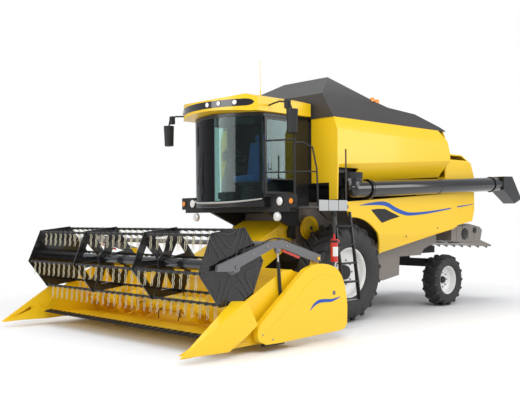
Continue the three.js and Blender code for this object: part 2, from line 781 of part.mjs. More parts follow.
// The subframe that carries the cab, with the lamp bar across its front end.
const lampBar = { x: [1330, 1392], z: [1940, 2150], half: 1440, inner: 905 };
{
  const top = cabFloorBottom - GAP;
  const rearX = frameFrontX - 60 + GAP;
  const beams = [1, -1].map((s) =>
    plate([[rearX, 1640], [rearX, top], [1332, top], [1332, 1880], [760, 1640]], "xz", s * 640, s * 720),
  );
  const cross = [box([600, 700], [-650, 650], [1860, top]), box([1200, 1290], [-650, 650], [1890, top])];
  const cheeks = [1, -1].flatMap((s) => [
    plate([[rearX, 1420], [rearX, 1700], [640, 1700], [700, 1560], [690, 1450]], "xz", s * (feederHalf + CLEAR), s * 641),
    rodY(feederPivot.x, feederPivot.z, s * (feederHalf - 60), s * 600, feederPivot.pin, pinSides),
  ]);
  const beam = box(lampBar.x, [-lampBar.half + 100, lampBar.half - 100], [1880, top]);
  const wing = (s) => box(lampBar.x, [s * lampBar.inner, s * lampBar.half], lampBar.z);
  // Handrails round the sweep of the door: one up past the windscreen, one over the platform.
  const foot = lampBar.z[1] - 20;
  const top1 = 3000;
  const x = (lampBar.x[0] + lampBar.x[1]) / 2;
  const rail = bentRod([V(x, 950, foot), V(1545, 950, foot), V(1560, 950, top1), V(x, 1420, top1), V(x, 1420, foot)], 15);
  const over = bentRod(
    [
      V(x, 1420, 2950),
      V(1240, 1500, 2950),
      V(1120, 1575, 2880),
      V(1090, 1635, 2550),
      V(1090, 1655, 2200),
      V(1090, 1655, platformZ[1] + GAP),
    ],
    14,
  );
  const mid = bentRod([V(1555, 955, 2500), V(x, 1420, 2500), V(1240, 1520, 2500), V(1090, 1638, 2500)], 11);
  add("cab_support", join(...beams, ...cross, ...cheeks, beam, wing(1), wing(-1), rail, over, mid), darkGrey);
}

// ---------------------------------------------------------------- platform, ladder, extinguisher
{
  const floor = box(platformX, platformY, platformZ);
  const bracket = box([900, 1000], [720 + GAP, 1000], [1885, 1926]);
  const skirt = box([440, 1110], [platformY[1] - 14, platformY[1]], [platformZ[0] - 40, platformZ[1] + 100]);
  const tall = join(
    rod(V(420, 1660, 1962), V(425, 1660, 2890), 13, 8),
    box([408, 470], [1640, platformY[1]], [platformZ[0], platformZ[1] + 20]),
  );
  const post0 = rod(V(post.x, post.y, 1080), V(post.x, post.y, platformZ[1]), post.radius, pinSides);
  const strut = rod(V(post.x, post.y, 1640), V(post.x, 1250, 1950), 16, 8);
  add("platform", join(floor, bracket, skirt, tall, post0, strut), darkGrey);
}
// The ladder hangs on the post and swings in front of the tyre for the road.
{
  const stile = [
    [post.y - 62, 1875],
    [post.y - 20, 1875],
    [post.y + 195, 420],
    [post.y + 130, 420],
  ];
  const rails = ladderX.map((x) => plate(stile, "yz", x - 14, x + 14));
  const steps = [0, 1, 2, 3, 4].map((i) => {
    const z = 430 + i * 300;
    const y = post.y - 41 + ((1895 - z) / 1475) * 203;
    return box(ladderX, [y - 75, y + 45], [z, z + 26]);
  });
  const eyes = [1210, 1800].map((z) =>
    join(
      rod(V(post.x, post.y, z), V(post.x, post.y, z + 55), 40, 12),
      box([post.x - 50, post.x - 20], [post.y - 20, post.y + (z < 1500 ? 75 : 20)], [z, z + 55]),
    ).subtract(bore(V(post.x, post.y, z - 10), V(post.x, post.y, z + 70), post.radius)),
  );
  add("ladder", join(...rails, ...steps, ...eyes), chassisBlack);
}
// The extinguisher rides on the ladder's front stile.
{
  const x = post.x + 100;
  const y = post.y + 85;
  const body = rod(V(x, y, 1080), V(x, y, 1440), 60, 12);
  const neck = rod(V(x, y, 1435), V(x, y, 1520), 20, 10, 15);
  const strap = box([ladderX[1] + 14 + GAP, x], [post.y + 30, y + 2], [1390, 1420]);
  add("fire_extinguisher", join(body, neck, strap), red);
}

// ---------------------------------------------------------------- mirrors
{
  const headY = cab.half + 630;
  const mirror = (x) => {
    const arm = bentRod(
      [
        V(x - 60, cab.half - 10, 3560),
        V(x + 10, cab.half + 210, 3575),
        V(x + 30, cab.half + 380, 3590),
        V(x + 10, headY - 50, 3560),
        V(x, headY, 3440),
      ],
      14,
    );
    const head = rod(V(x, headY, 3445), V(x, headY, 3085), 95, 12, 80);
    const small = hull([-45, 45].flatMap((d) => [-70, 70].flatMap((k) => [-30, 30].map((e) => [x + e, headY - 100 + d, 3540 + k]))));
    const lean = box([x - 60, x + 150], [headY - 200, headY + 200], [3000, 3500]);
    return join(arm, head.intersect(lean), small).subtract(plate(roofPlan(GAP), "xy", 3460, 3800));
  };
  add("left_mirror", mirror(1490), chassisBlack);
  add("right_mirror", mirrorY(mirror(1620)), chassisBlack);
}

// ---------------------------------------------------------------- unloading auger
const tubeEnd = V(-4480, 1612, 2455);
{
  const p = augerPivot;
  const knee = V(p.x, p.y, 2250);
  const collar = rod(V(p.x, p.y, p.z - 50), V(p.x, p.y, p.z - 2 * GAP), 158, 12);
  const neck = rod(V(p.x, p.y, knee.z - 20), V(p.x, p.y, p.z - 20), 132, 12);
  const ball = solid(new THREE.SphereGeometry(138, 16, 10).translate(knee.x, knee.y, knee.z));
  const tube = rod(knee, tubeEnd, augerTube, 20);
  const socket = bore(V(p.x, p.y, p.z - 50), V(p.x, p.y, p.z + 10), 70);
  const e = tubeEnd;
  const spout = hull([
    [e.x + 30, e.y - 150, e.z + 155],
    [e.x + 30, e.y + 150, e.z + 155],
    [e.x + 30, e.y - 150, e.z - 120],
    [e.x + 30, e.y + 150, e.z - 120],
    [e.x - 330, e.y - 150, e.z + 165],
    [e.x - 330, e.y + 150, e.z + 165],
    [e.x - 760, e.y - 130, e.z - 300],
    [e.x - 760, e.y + 130, e.z - 300],
    [e.x - 470, e.y - 130, e.z - 400],
    [e.x - 470, e.y + 130, e.z - 400],
  ]);
  add("unloading_auger", join(collar, neck, ball, tube, spout).subtract(socket), black);
}

// ---------------------------------------------------------------- feeder house and its lift
{
  const house = plate(
    [
      [feederPivot.x, feederPivot.z],
      [feederPivot.x + 70, feederPivot.z + 215],
      [headerBackX - GAP, 930],
      [headerBackX - GAP, 330],
      [feederPivot.x + 130, feederPivot.z - 300],
      [feederPivot.x - 45, feederPivot.z - 300],
      [feederPivot.x - 45, feederPivot.z - 10],
    ],
    "xz",
    -feederHalf,
    feederHalf,
  );
  const pivotTube = rodY(feederPivot.x, feederPivot.z, -feederHalf, feederHalf, feederPivot.tube, 12);
  const pivotBores = [1, -1].map((s) =>
    boreY(feederPivot.x, feederPivot.z, s * (feederHalf - 65), s * (feederHalf + 5), feederPivot.pin),
  );
  const lugs = [1, -1].map((s) =>
    plate([[lift.eyeX - 170, 900], [lift.eyeX + 60, 880], [lift.eyeX + 45, lift.eyeZ - 35], [lift.eyeX - 45, lift.eyeZ - 35]], "xz", s * (lift.y - 75), s * (lift.y - 50)),
  );
  const shafts = [1, -1].map((s) => rodY(lift.eyeX, lift.eyeZ, s * (lift.y - 60), s * (lift.y + 30), lift.pin, pinSides));
  add("feeder_house", join(house, pivotTube, ...lugs, ...shafts).subtract(join(...pivotBores)), yellow);
}

// A cylinder from its base pin to its rod's eye. The barrel is open at the rod's end, and the eye
// has room for the slack that the rod's steady travel leaves against the pin's arc.
function cylinder(name, base, eye, c, y) {
  const way = eye.clone().sub(base).normalize();
  const point = (t) => base.clone().addScaledVector(way, t).setY(y);
  const h = c.eyeHalf;
  const reach = eye.clone().sub(base).length();
  const start = reach - c.rodLength;
  const barrel = join(
    rod(point(c.barrel * 0.6), point(c.barrelLength), c.barrel, 10),
    rodY(base.x, base.z, y - h, y + h, c.barrel * 0.95, 12),
  )
    .subtract(box([-1e4, 1e4], [y + h, y + 1e3], [base.z - c.barrel, base.z + c.barrel * 1.4]))
    .subtract(box([-1e4, 1e4], [y - h, y - 1e3], [base.z - c.barrel, base.z + c.barrel * 1.4]))
    .subtract(bore(point(start - 60), point(c.barrelLength + 10), c.rod))
    .subtract(boreY(base.x, base.z, y - 60, y + 60, c.pin));
  const piston = join(
    rod(point(start), point(reach - c.pin - c.slack), c.rod, pinSides),
    rodY(eye.x, eye.z, y - h, y + h, c.pin + c.slack + c.rod * 0.7, 12),
  ).subtract(boreY(eye.x, eye.z, y - 60, y + 60, c.pin + c.slack));
  add(name + "_barrel", barrel, chassisBlack);
  add(name + "_rod", piston, steel);
}
for (const [side, s] of [["left", 1], ["right", -1]]) {
  cylinder(side + "_lift", V(lift.baseX, 0, lift.baseZ), V(lift.eyeX, 0, lift.eyeZ), lift, s * lift.y);
}

// ---------------------------------------------------------------- header
// The trough: back wall, floor rolled round the cross auger, and a ramp down to the knife.
const troughR = crossAuger.flight + troughGap;
{
  const s = new THREE.Shape();
  const cx = crossAuger.x;
  const cz = crossAuger.z;
  const wallX = cx - troughR;
  s.moveTo(wallX, headerTopZ - 10);
  s.lineTo(wallX, cz);
  s.absarc(cx, cz, troughR, Math.PI, Math.PI * 1.62, false);
  s.lineTo(knife.x - 20, knife.z - 12);
  s.lineTo(knife.x - 20, knife.z - 12 - troughWall);
  const outer = troughR + troughWall;
  s.lineTo(cx + outer * Math.cos(Math.PI * 1.62) + 10, cz + outer * Math.sin(Math.PI * 1.62));
  s.absarc(cx, cz, outer, Math.PI * 1.6, Math.PI, true);
  s.lineTo(headerBackX + 30, cz);
  s.lineTo(headerBackX + 30, headerTopZ - 10);
  const sheet = plate(s, "xz", -cutHalf, cutHalf);
  const topBeam = box([headerBackX, wallX + 10], [-cutHalf, cutHalf], [headerTopZ - 120, headerTopZ]);
  const lowBeam = box([headerBackX + 30, headerBackX + 130], [-cutHalf, cutHalf], [110, 210]);
  const ribs = [-0.5, 0.5].map((k) => {
    const y = k * (cutHalf - 30);
    return plate([[headerBackX + 30, headerTopZ - 20], [headerBackX + 30, 120], [3300, 120], [3400, 195], [cx, cz - troughR - 4], [wallX + 4, cz]], "xz", y - 12, y + 12)
      .subtract(rodY(cx, cz, -3000, 3000, troughR + 6, 24));
  });
  const collar = box([headerBackX, wallX - 5], [-feederHalf - 60, feederHalf + 60], [300, headerTopZ - 100]);
  const mouth = box([headerBackX - 50, crossAuger.x], [-feederHalf + 60, feederHalf - 60], [380, 850]);
  add("header_trough", join(sheet, topBeam, lowBeam, collar, ...ribs).subtract(mouth), yellow);
}

// Crop divider: a pointed sheet on the end sheet that reaches ahead of the knife.
function divider() {
  const y = sheetY;
  const nose = hull([
    [tipX, tipY, tipZ],
    [tipX - 40, tipY - 20, tipZ - 15],
    [3440, y + 2, 715],
    [3330, dividerY - 5, 722],
    [3150, dividerY, 400],
    [3300, y + 2, 420],
    [3490, dividerY - 90, 95],
    [3490, y + 2, 130],
    [3600, dividerY - 60, 95],
  ]);
  const under = hull([
    [tipX, tipY - 2, tipZ - 18],
    [tipX - 300, y + 60, tipZ + 60],
    [3440, y + 24, 690],
    [3320, dividerY - 30, 700],
    [3120, dividerY - 25, 380],
    [3290, y + 24, 400],
    [3380, dividerY - 70, 60],
    [3380, y + 24, 60],
  ]);
  const blade = plate([[3200, 108], [3200, 160], [3480, 190], [3720, 330], [4100, 200], [4290, 120], [3600, 98]], "xz", y - 4, y + 14);
  return join(nose.subtract(under), blade);
}

// End sheets with the reel arm's bracket.
{
  const outline = [
    [2150, 1000],
    [headerBackX + 60, headerTopZ],
    [2500, headerTopZ],
    [3160, 720],
    [3430, 560],
    [3680, 240],
    [3560, 150],
    [3300, 105],
    [2250, 105],
    [2150, 250],
  ];
  const y = [cutHalf + GAP, sheetY];
  const sheet = plate(outline, "xz", ...y);
  const stub = rodY(crossAuger.x, crossAuger.z, cutHalf - 60, cutHalf + 2, 45, pinSides);
  const strut = box([1790, 2170], y, [800, 880]);
  const bracket = plate([[1790, 805], [1790, armPivot.z + 45], [1910, armPivot.z + 45], [2050, 875], [2050, 805]], "xz", ...y);
  const pin = rodY(armPivot.x, armPivot.z, sheetY - 5, armY[1] + 12, armPivot.pin, pinSides);
  const foot = rodY(reelLift.baseX, reelLift.baseZ, sheetY - 5, reelLift.y + reelLift.eyeHalf + 6, reelLift.pin, pinSides);
  addPair("header_end", join(sheet, stub, strut, bracket, pin, foot, divider()), yellow);
}

// Big outer shields over the header drives.
const shieldY = [armY[1] + 18, armY[1] + 108];
{
  const s = new THREE.Shape();
  s.moveTo(3100, 170);
  s.quadraticCurveTo(3170, 260, 3090, 390);
  s.lineTo(2230, 1060);
  s.quadraticCurveTo(1900, 1200, 1600, 1060);
  s.quadraticCurveTo(1380, 940, 1345, 470);
  s.lineTo(1355, 230);
  s.quadraticCurveTo(1380, 150, 1520, 145);
  s.lineTo(2700, 108);
  s.lineTo(2980, 112);
  const skin = plate(s, "xz", shieldY[0], shieldY[1]);
  const inner = plate(
    [[3050, 200], [3060, 350], [2200, 1015], [1650, 1030], [1420, 900], [1385, 470], [1395, 250], [1530, 185], [2700, 148]],
    "xz",
    shieldY[0] - 10,
    shieldY[1] - 16,
  );
  const pegs = [[2300, 300], [2760, 500]].map(([x, z]) => rodY(x, z, sheetY + GAP * 2, shieldY[1] - 10, 30, 10));
  addPair("header_shield", join(skin.subtract(inner), ...pegs), yellow);
}

// Knife: a bar with a row of pointed guards.
{
  const pitch = 76.2;
  const n = Math.floor((2 * cutHalf - 40) / pitch);
  const start = (-n * pitch) / 2;
  const points = [[knife.x - 60, start], [knife.x + 40, start]];
  for (let i = 0; i < n; i++) {
    const y = start + i * pitch;
    points.push([knife.x + 42, y + 4], [knife.x + 150, y + pitch / 2]);
  }
  points.push([knife.x + 40, -start], [knife.x - 60, -start]);
  add("cutter_bar", plate(points, "xy", knife.z - 12 + GAP, knife.z + 6), chassisBlack);
}

// Cross auger: a tube with a right-hand and a left-hand flight that meet at the feeder.
function flight(y0, y1, hand) {
  const turns = Math.abs(y1 - y0) / crossAuger.pitch;
  const n = Math.round(turns * 9);
  const inner = crossAuger.tube - 16;
  const thick = 8;
  const corners = [];
  for (let i = 0; i <= n; i++) {
    const a = (hand * i * 2 * Math.PI) / 9;
    const y = y0 + ((y1 - y0) * i) / n;
    for (const [r, dy] of [[inner, -thick], [crossAuger.flight, -thick], [crossAuger.flight, thick], [inner, thick]])
      corners.push(crossAuger.x + r * Math.cos(a), y + dy, crossAuger.z + r * Math.sin(a));
  }
  const faces = [0, 1, 2, 0, 2, 3];
  for (let i = 0; i < n; i++)
    for (let k = 0; k < 4; k++) {
      const a = i * 4 + k;
      const b = i * 4 + ((k + 1) % 4);
      faces.push(a, a + 4, b, b, a + 4, b + 4);
    }
  const e = n * 4;
  faces.push(e, e + 2, e + 1, e, e + 3, e + 2);
  const g = new THREE.BufferGeometry();
  g.setAttribute("position", new THREE.BufferAttribute(new Float32Array(corners), 3));
  g.setIndex(faces);
  return solid(g);
}
{
  const end = cutHalf - CLEAR;
  const bores = [1, -1].map((s) => boreY(crossAuger.x, crossAuger.z, s * (cutHalf - 65), s * cutHalf, 45));
  const tube = rodY(crossAuger.x, crossAuger.z, -end, end, crossAuger.tube, 14);
  add("cross_auger", join(tube, flight(-end + 20, -560, 1), flight(end - 20, 560, 1)).subtract(join(...bores)), yellow);
}

// ---------------------------------------------------------------- reel
const reelAt = (radius, k) => {
  const a = THREE.MathUtils.degToRad(reel.phase + k * 60);
  return [reel.x + radius * Math.cos(a), reel.z + radius * Math.sin(a)];
};
const six = [0, 1, 2, 3, 4, 5];
{
  const barHoles = (radius) => six.map((k) => circle(...reelAt(reel.barCircle, k), radius, 8));
  const outline = six.map((k) => reelAt(reel.vertex, k));
  const hole = boreRadius(tineBarRadius, 8);
  const endPlate = (y0, y1) => plate(outline, "xz", y0, y1, barHoles(hole));
  const spider = (y) => {
    const windows = six.flatMap((k) => {
      const corner = (r, a) => {
        const t = THREE.MathUtils.degToRad(reel.phase + k * 60 + a);
        return new THREE.Vector2(reel.x + r * Math.cos(t), reel.z + r * Math.sin(t));
      };
      return [new THREE.Path([corner(130, 30), corner(395, 13), corner(395, 47)])];
    });
    return plate(outline, "xz", y - 12, y + 12, [...barHoles(hole), ...windows]);
  };
  const tube = rodY(reel.x, reel.z, -reel.half, reel.half, reel.tube, 12);
  const shaft = rodY(reel.x, reel.z, -armY[1] + 6, armY[1] - 6, 24, pinSides);
  const shape = join(
    tube,
    shaft,
    endPlate(reel.half - 12, reel.half),
    endPlate(-reel.half, -reel.half + 12),
    spider(reel.spiderY),
    spider(-reel.spiderY),
  );
  add("reel", shape, black);
  six.forEach((k) => {
    const [x, z] = reelAt(reel.barCircle, k);
    add("tine_bar_" + (k + 1), rodY(x, z, -reel.half - 6, reel.half + 6, tineBarRadius, pinSides), black);
  });
}

// Reel arms, bent over the header's end, with a bearing for the reel's shaft.
{
  const depth = 48;
  const shape = plate(
    [
      [armPivot.x - 50, armPivot.z - depth],
      [armPivot.x - 50, armPivot.z + depth],
      [2560, 1478],
      [2760, 1478],
      [3700, 1190],
      [3715, 1110],
      [3460, 1100],
      [2740, 1372],
      [2580, 1372],
      [armPivot.x + 60, armPivot.z - depth],
    ],
    "xz",
    armY[0],
    armY[1],
  );
  const bearing = rodY(reel.x, reel.z, armY[0], armY[1], 70, 12);
  const shaftHole = boreY(reel.x, reel.z, armY[0] - 10, armY[1] + 10, 24);
  const pivotHole = boreY(armPivot.x, armPivot.z, armY[0] - 10, armY[1] + 10, armPivot.pin);
  const lugs = [[armY[0], armY[0] + 6], [armY[1] - 6, armY[1]]].map((y) =>
    plate([[2580, 1390], [2700, 1390], [2665, 1300], [2615, 1300]], "xz", ...y),
  );
  const pin = rodY(reelLift.eyeX, reelLift.eyeZ, armY[0] + 2, armY[1] - 2, reelLift.pin, pinSides);
  const left = join(shape, bearing, ...lugs, pin).subtract(shaftHole).subtract(pivotHole);
  const crossTube = rodY(2660, 1425, -armY[0] - 5, armY[0] + 5, 36, 10);
  add("reel_arms", join(left, mirrorY(left), crossTube), darkGrey);
}
for (const [side, s] of [["left", 1], ["right", -1]]) {
  cylinder(side + "_reel", V(reelLift.baseX, 0, reelLift.baseZ), V(reelLift.eyeX, 0, reelLift.eyeZ), reelLift, s * reelLift.y);
}

// ---------------------------------------------------------------- the frame of the part
const bounds = new THREE.Box3().setFromObject(machine);
machine.position.x = -(bounds.min.x + bounds.max.x) / 2;

export default machine;
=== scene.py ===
"""Looks and studio for the combine harvester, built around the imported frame."""
import bpy
import bmesh
import math
from mathutils import Matrix, Vector


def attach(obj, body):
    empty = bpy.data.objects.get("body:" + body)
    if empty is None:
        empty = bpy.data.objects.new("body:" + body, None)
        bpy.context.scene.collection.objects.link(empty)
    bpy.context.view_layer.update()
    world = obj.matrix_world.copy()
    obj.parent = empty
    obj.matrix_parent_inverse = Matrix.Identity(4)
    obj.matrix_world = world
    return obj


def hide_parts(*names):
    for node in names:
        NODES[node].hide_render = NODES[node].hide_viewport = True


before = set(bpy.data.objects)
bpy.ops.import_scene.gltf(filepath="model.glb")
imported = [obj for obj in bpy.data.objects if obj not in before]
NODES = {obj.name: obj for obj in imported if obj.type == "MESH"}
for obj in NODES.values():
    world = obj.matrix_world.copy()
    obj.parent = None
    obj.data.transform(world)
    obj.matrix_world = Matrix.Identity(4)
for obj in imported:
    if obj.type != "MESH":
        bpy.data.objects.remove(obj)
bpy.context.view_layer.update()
scene = bpy.context.scene

# Places below are in millimetres from the point on the ground under the drive axle,
# and DX moves them into the frame, whose origin is at the middle of the machine.
DX = 0.4415

# Driving dimensions, in those millimetres. A face is the distance of a side's outer surface from the middle.
WHEELBASE = 3170
DRIVE_WHEEL = dict(R=845, width=620, outer=1450, x=0)
STEER_WHEEL = dict(R=515, width=360, outer=1298, x=-WHEELBASE)
DRIVE_RIM, STEER_RIM = 430, 285
PANEL_FACE = 1450
HOOD_FACE = 1410
CHOPPER_FACE = 1286
PLATFORM_TOP = 1960
LAMP_X, LAMP_Z = 1390, 2045
LOW_LAMP_Y, LOW_LAMP_Z = 1040, 1800
PULLEY_X, PULLEY_Z = 316, 1604


# ------------------------------------------------------------------ shapes
class Shape:
    """Vertices and faces gathered from simple solids."""

    def __init__(self):
        self.v, self.f = [], []

    def put(self, verts, faces):
        n = len(self.v)
        self.v += [tuple(p) for p in verts]
        self.f += [tuple(i + n for i in f) for f in faces]
        return self

    def box(self, x, y, z):
        (a, b), (c, d), (e, f) = sorted(x), sorted(y), sorted(z)
        v = [(a, c, e), (b, c, e), (b, d, e), (a, d, e), (a, c, f), (b, c, f), (b, d, f), (a, d, f)]
        return self.put(v, [(3, 2, 1, 0), (4, 5, 6, 7), (0, 1, 5, 4), (1, 2, 6, 5), (2, 3, 7, 6), (3, 0, 4,
            7)])

    def prism(self, pts, plane, lo, hi):
        """An outline pushed along the third axis."""
        at = {"xz": lambda a, b, t: (a, t, b), "yz": lambda a, b, t: (t, a, b), "xy": lambda a, b, t: (a, b,
            t)}[plane]
        n = len(pts)
        v = [at(a, b, lo) for a, b in pts] + [at(a, b, hi) for a, b in pts]
        sides = [(i, (i + 1) % n, n + (i + 1) % n, n + i) for i in range(n)]
        return self.put(v, [tuple(range(n))[::-1], tuple(range(n, 2 * n))] + sides)

    def loft(self, rings, caps=True, closed=False):
        """Rings of the same number of points, joined in order."""
        n, m = len(rings[0]), len(rings)
        v = [p for r in rings for p in r]
        f = []
        for i in range(m if closed else m - 1):
            j = (i + 1) % m
            for k in range(n):
                f.append((i * n + k, i * n + (k + 1) % n, j * n + (k + 1) % n, j * n + k))
        if caps and not closed:
            f += [tuple(range(n))[::-1], tuple((m - 1) * n + k for k in range(n))]
        return self.put(v, f)

    def tube(self, pts, r, n=10, closed=False, caps=True):
        """A round bar along the points, mitred at each."""
        pts = [Vector(p) for p in pts]
        m = len(pts)
        rr = r if hasattr(r, "__len__") else [r] * m
        rings, up = [], None
        for i, p in enumerate(pts):
            a = pts[i - 1] if i or closed else None
            b = pts[(i + 1) % m] if i < m - 1 or closed else None
            d1 = (p - a).normalized() if a is not None else None
            d2 = (b - p).normalized() if b is not None else None
            t = (d1 + d2).normalized() if d1 is not None and d2 is not None else (d1 or d2)
            if up is None:
                up = Vector((0, 0, 1)) if abs(t.z) < 0.9 else Vector((1, 0, 0))
            side = t.cross(up).normalized()
            up = side.cross(t).normalized()
            k = 1.0
            if d1 is not None and d2 is not None:
                k = 1 / max(0.5, math.cos(d1.angle(d2) / 2))
                bend = (d2 - d1)
            ring = []
            for q in range(n):
                c = 2 * math.pi * q / n
                o = side * math.cos(c) + up * math.sin(c)
                if k > 1.001:
                    w = bend.normalized()
                    o = o + w * (o.dot(w)) * (k - 1)
                ring.append(p + o * rr[i])
            rings.append(ring)
        return self.loft(rings, caps, closed)

    def rod(self, a, b, r, n=16, r2=None):
        return self.tube([a, b], [r, r if r2 is None else r2], n)

    def lathe(self, prof, c, axis="y", n=32, closed=False):
        """Profile of (radius, along) turned about an axis through c."""
        rings = []
        for k in range(n):
            t = 2 * math.pi * k / n
            s, q = math.sin(t), math.cos(t)
            at = {
                "y": lambda r, h: (c[0] + r * q, c[1] + h, c[2] + r * s),
                "x": lambda r, h: (c[0] + h, c[1] + r * q, c[2] + r * s),
                "z": lambda r, h: (c[0] + r * q, c[1] + r * s, c[2] + h),
            }[axis]
            rings.append([at(r, h) for r, h in prof])
        m = len(prof)
        v = [p for r in rings for p in r]
        f = []
        for k in range(n):
            j = (k + 1) % n
            for i in range(m if closed else m - 1):
                i2 = (i + 1) % m
                f.append((k * m + i, k * m + i2, j * m + i2, j * m + i))
        if not closed:
            for i in (0, m - 1):
                if prof[i][0] > 1e-6:
                    f.append(tuple(k * m + i for k in range(n)))
        return self.put(v, f)

    def ball(self, c, r, n=12):
        prof = [(r * math.sin(math.pi * i / n), -r * math.cos(math.pi * i / n)) for i in range(n + 1)]
        return self.lathe(prof, c, "z", 2 * n)

    def add(self, other):
        return self.put(other.v, other.f)

    def mirrored(self):
        s = Shape()
        s.v = [(x, -y, z) for x, y, z in self.v]
        s.f = [f[::-1] for f in self.f]
        return s

    def both(self):
        return self.put(self.mirrored().v, self.mirrored().f)


def smooth(pts, steps=6, closed=False):
    """Catmull-Rom points through pts."""
    p = [Vector(q) for q in pts]
    n = len(p)
    out = []
    for i in range(n if closed else n - 1):
        a, b, c, d = (p[(i + k) % n] if closed else p[min(max(i + k, 0), n - 1)] for k in (-1, 0, 1, 2))
        for s in range(steps):
            t = s / steps
            out.append(0.5 * ((2 * b) + (c - a) * t + (2 * a - 5 * b + 4 * c - d) * t * t + (
                3 * b - a - 3 * c + d) * t ** 3))
    if not closed:
        out.append(p[-1])
    return [tuple(q) for q in out]


def rounded(pts, r, steps=5):
    """A closed outline with its corners rounded."""
    out = []
    n = len(pts)
    for i in range(n):
        a, b, c = (Vector(pts[(i + k) % n]) for k in (-1, 0, 1))
        u, w = a - b, c - b
        d = min(r, u.length * 0.45, w.length * 0.45)
        p, q = b + u.normalized() * d, b + w.normalized() * d
        for s in range(steps + 1):
            t = s / steps
            out.append(tuple((1 - t) ** 2 * p + 2 * t * (1 - t) * b + t * t * q))
    return out


# ------------------------------------------------------------------ shader maths
class Sock:
    """A node socket that takes arithmetic."""

    def __init__(self, tree, s):
        self.t, self.s = tree, s

    def _m(self, op, other, swap=False):
        n = self.t.nodes.new("ShaderNodeMath")
        n.operation = op
        a, b = (other, self) if swap else (self, other)
        for i, x in enumerate((a, b)):
            if isinstance(x, Sock):
                self.t.links.new(x.s, n.inputs[i])
            elif x is not None:
                n.inputs[i].default_value = x
        return Sock(self.t, n.outputs[0])

    def __add__(self, o):
        return self._m("ADD", o)

    def __mul__(self, o):
        return self._m("MULTIPLY", o)

    def __sub__(self, o):
        return self._m("SUBTRACT", o)

    def __rsub__(self, o):
        return self._m("SUBTRACT", o, True)

    def above(self, o):
        return self._m("GREATER_THAN", o)

    def clamp(self):
        n = self.t.nodes.new("ShaderNodeClamp")
        self.t.links.new(self.s, n.inputs[0])
        return Sock(self.t, n.outputs[0])


class Look:
    """A principled material under construction."""

    def __init__(self, name, color, rough=0.4, metal=0.0, **k):
        self.m = bpy.data.materials.new(name)
        self.m.use_nodes = True
        self.t = self.m.node_tree
        self.b = self.t.nodes["Principled BSDF"]
        self.b.inputs["Base Color"].default_value = (*color, 1)
        self.b.inputs["Roughness"].default_value = rough
        self.b.inputs["Metallic"].default_value = metal
        for a, v in k.items():
            self.b.inputs[a.replace("_", " ").title().replace("Ior", "IOR")].default_value = v
        self.color, self.rough = color, rough
        self.coord = None

    def at(self):
        if self.coord is None:
            self.coord = self.t.nodes.new("ShaderNodeTexCoord").outputs["Object"]
        return self.coord

    def noise(self, scale, detail=2.0, stretch=None):
        n = self.t.nodes.new("ShaderNodeTexNoise")
        n.inputs["Scale"].default_value = scale
        n.inputs["Detail"].default_value = detail
        src = self.at()
        if stretch:
            m = self.t.nodes.new("ShaderNodeMapping")
            m.inputs["Scale"].default_value = stretch
            self.t.links.new(src, m.inputs[0])
            src = m.outputs[0]
        self.t.links.new(src, n.inputs["Vector"])
        return Sock(self.t, n.outputs[0])

    def wave(self, scale, axis="X"):
        n = self.t.nodes.new("ShaderNodeTexWave")
        n.bands_direction = axis
        n.inputs["Scale"].default_value = scale
        self.t.links.new(self.at(), n.inputs["Vector"])
        return Sock(self.t, n.outputs["Fac"])

    def roughness(self, s):
        self.t.links.new(s.clamp().s, self.b.inputs["Roughness"])
        return self

    def tint(self, fac, a, b):
        n = self.t.nodes.new("ShaderNodeMix")
        n.data_type = "RGBA"
        n.inputs["A"].default_value = (*a, 1)
        n.inputs["B"].default_value = (*b, 1)
        self.t.links.new(fac.clamp().s, n.inputs[0])
        self.t.links.new(n.outputs["Result"], self.b.inputs["Base Color"])
        return self

    def bump(self, height, strength, dist):
        n = self.t.nodes.new("ShaderNodeBump")
        n.inputs["Strength"].default_value = strength
        n.inputs["Distance"].default_value = dist
        self.t.links.new(height.s, n.inputs["Height"])
        self.t.links.new(n.outputs[0], self.b.inputs["Normal"])
        return self


def paint(name, color, rough=0.32, coat=0.4):
    k = Look(name, color, rough, coat_weight=coat, coat_roughness=0.08)
    if max(color) < 0.06:
        k.b.inputs["Specular IOR Level"].default_value = 0.3
    k.bump(k.noise(140, 1), 0.05, 0.0006)
    k.roughness(k.noise(5, 3) * 0.12 + (rough - 0.06))
    return k.m


yellow = paint("yellow_paint", (0.89, 0.56, 0.006), 0.36, 0.2)
black = paint("black_paint", (0.012, 0.012, 0.013), 0.34, 0.25)
gloss_black = paint("gloss_black_paint", (0.006, 0.006, 0.007), 0.16, 0.8)
satin_black = paint("satin_black_paint", (0.02, 0.02, 0.021), 0.5, 0.0)
dark_grey = paint("dark_grey_paint", (0.05, 0.047, 0.045), 0.42, 0.1)
mid_grey = paint("mid_grey_paint", (0.13, 0.13, 0.135), 0.4, 0.1)
light_grey = paint("light_grey_paint", (0.42, 0.43, 0.43), 0.4, 0.1)
warm_grey = paint("warm_grey_paint", (0.2, 0.175, 0.155), 0.45, 0.1)
white = paint("white_paint", (0.78, 0.78, 0.76), 0.35)
red = paint("red_paint", (0.6, 0.012, 0.01), 0.25, 0.6)
blue = paint("blue_stripe", (0.0, 0.075, 0.4), 0.4, 0.0)
orange = paint("orange_lens", (0.9, 0.28, 0.01), 0.15, 0.8)
red_lens = paint("red_lens", (0.5, 0.01, 0.01), 0.15, 0.8)
cream = paint("cream_plastic", (0.62, 0.58, 0.42), 0.5, 0.0)

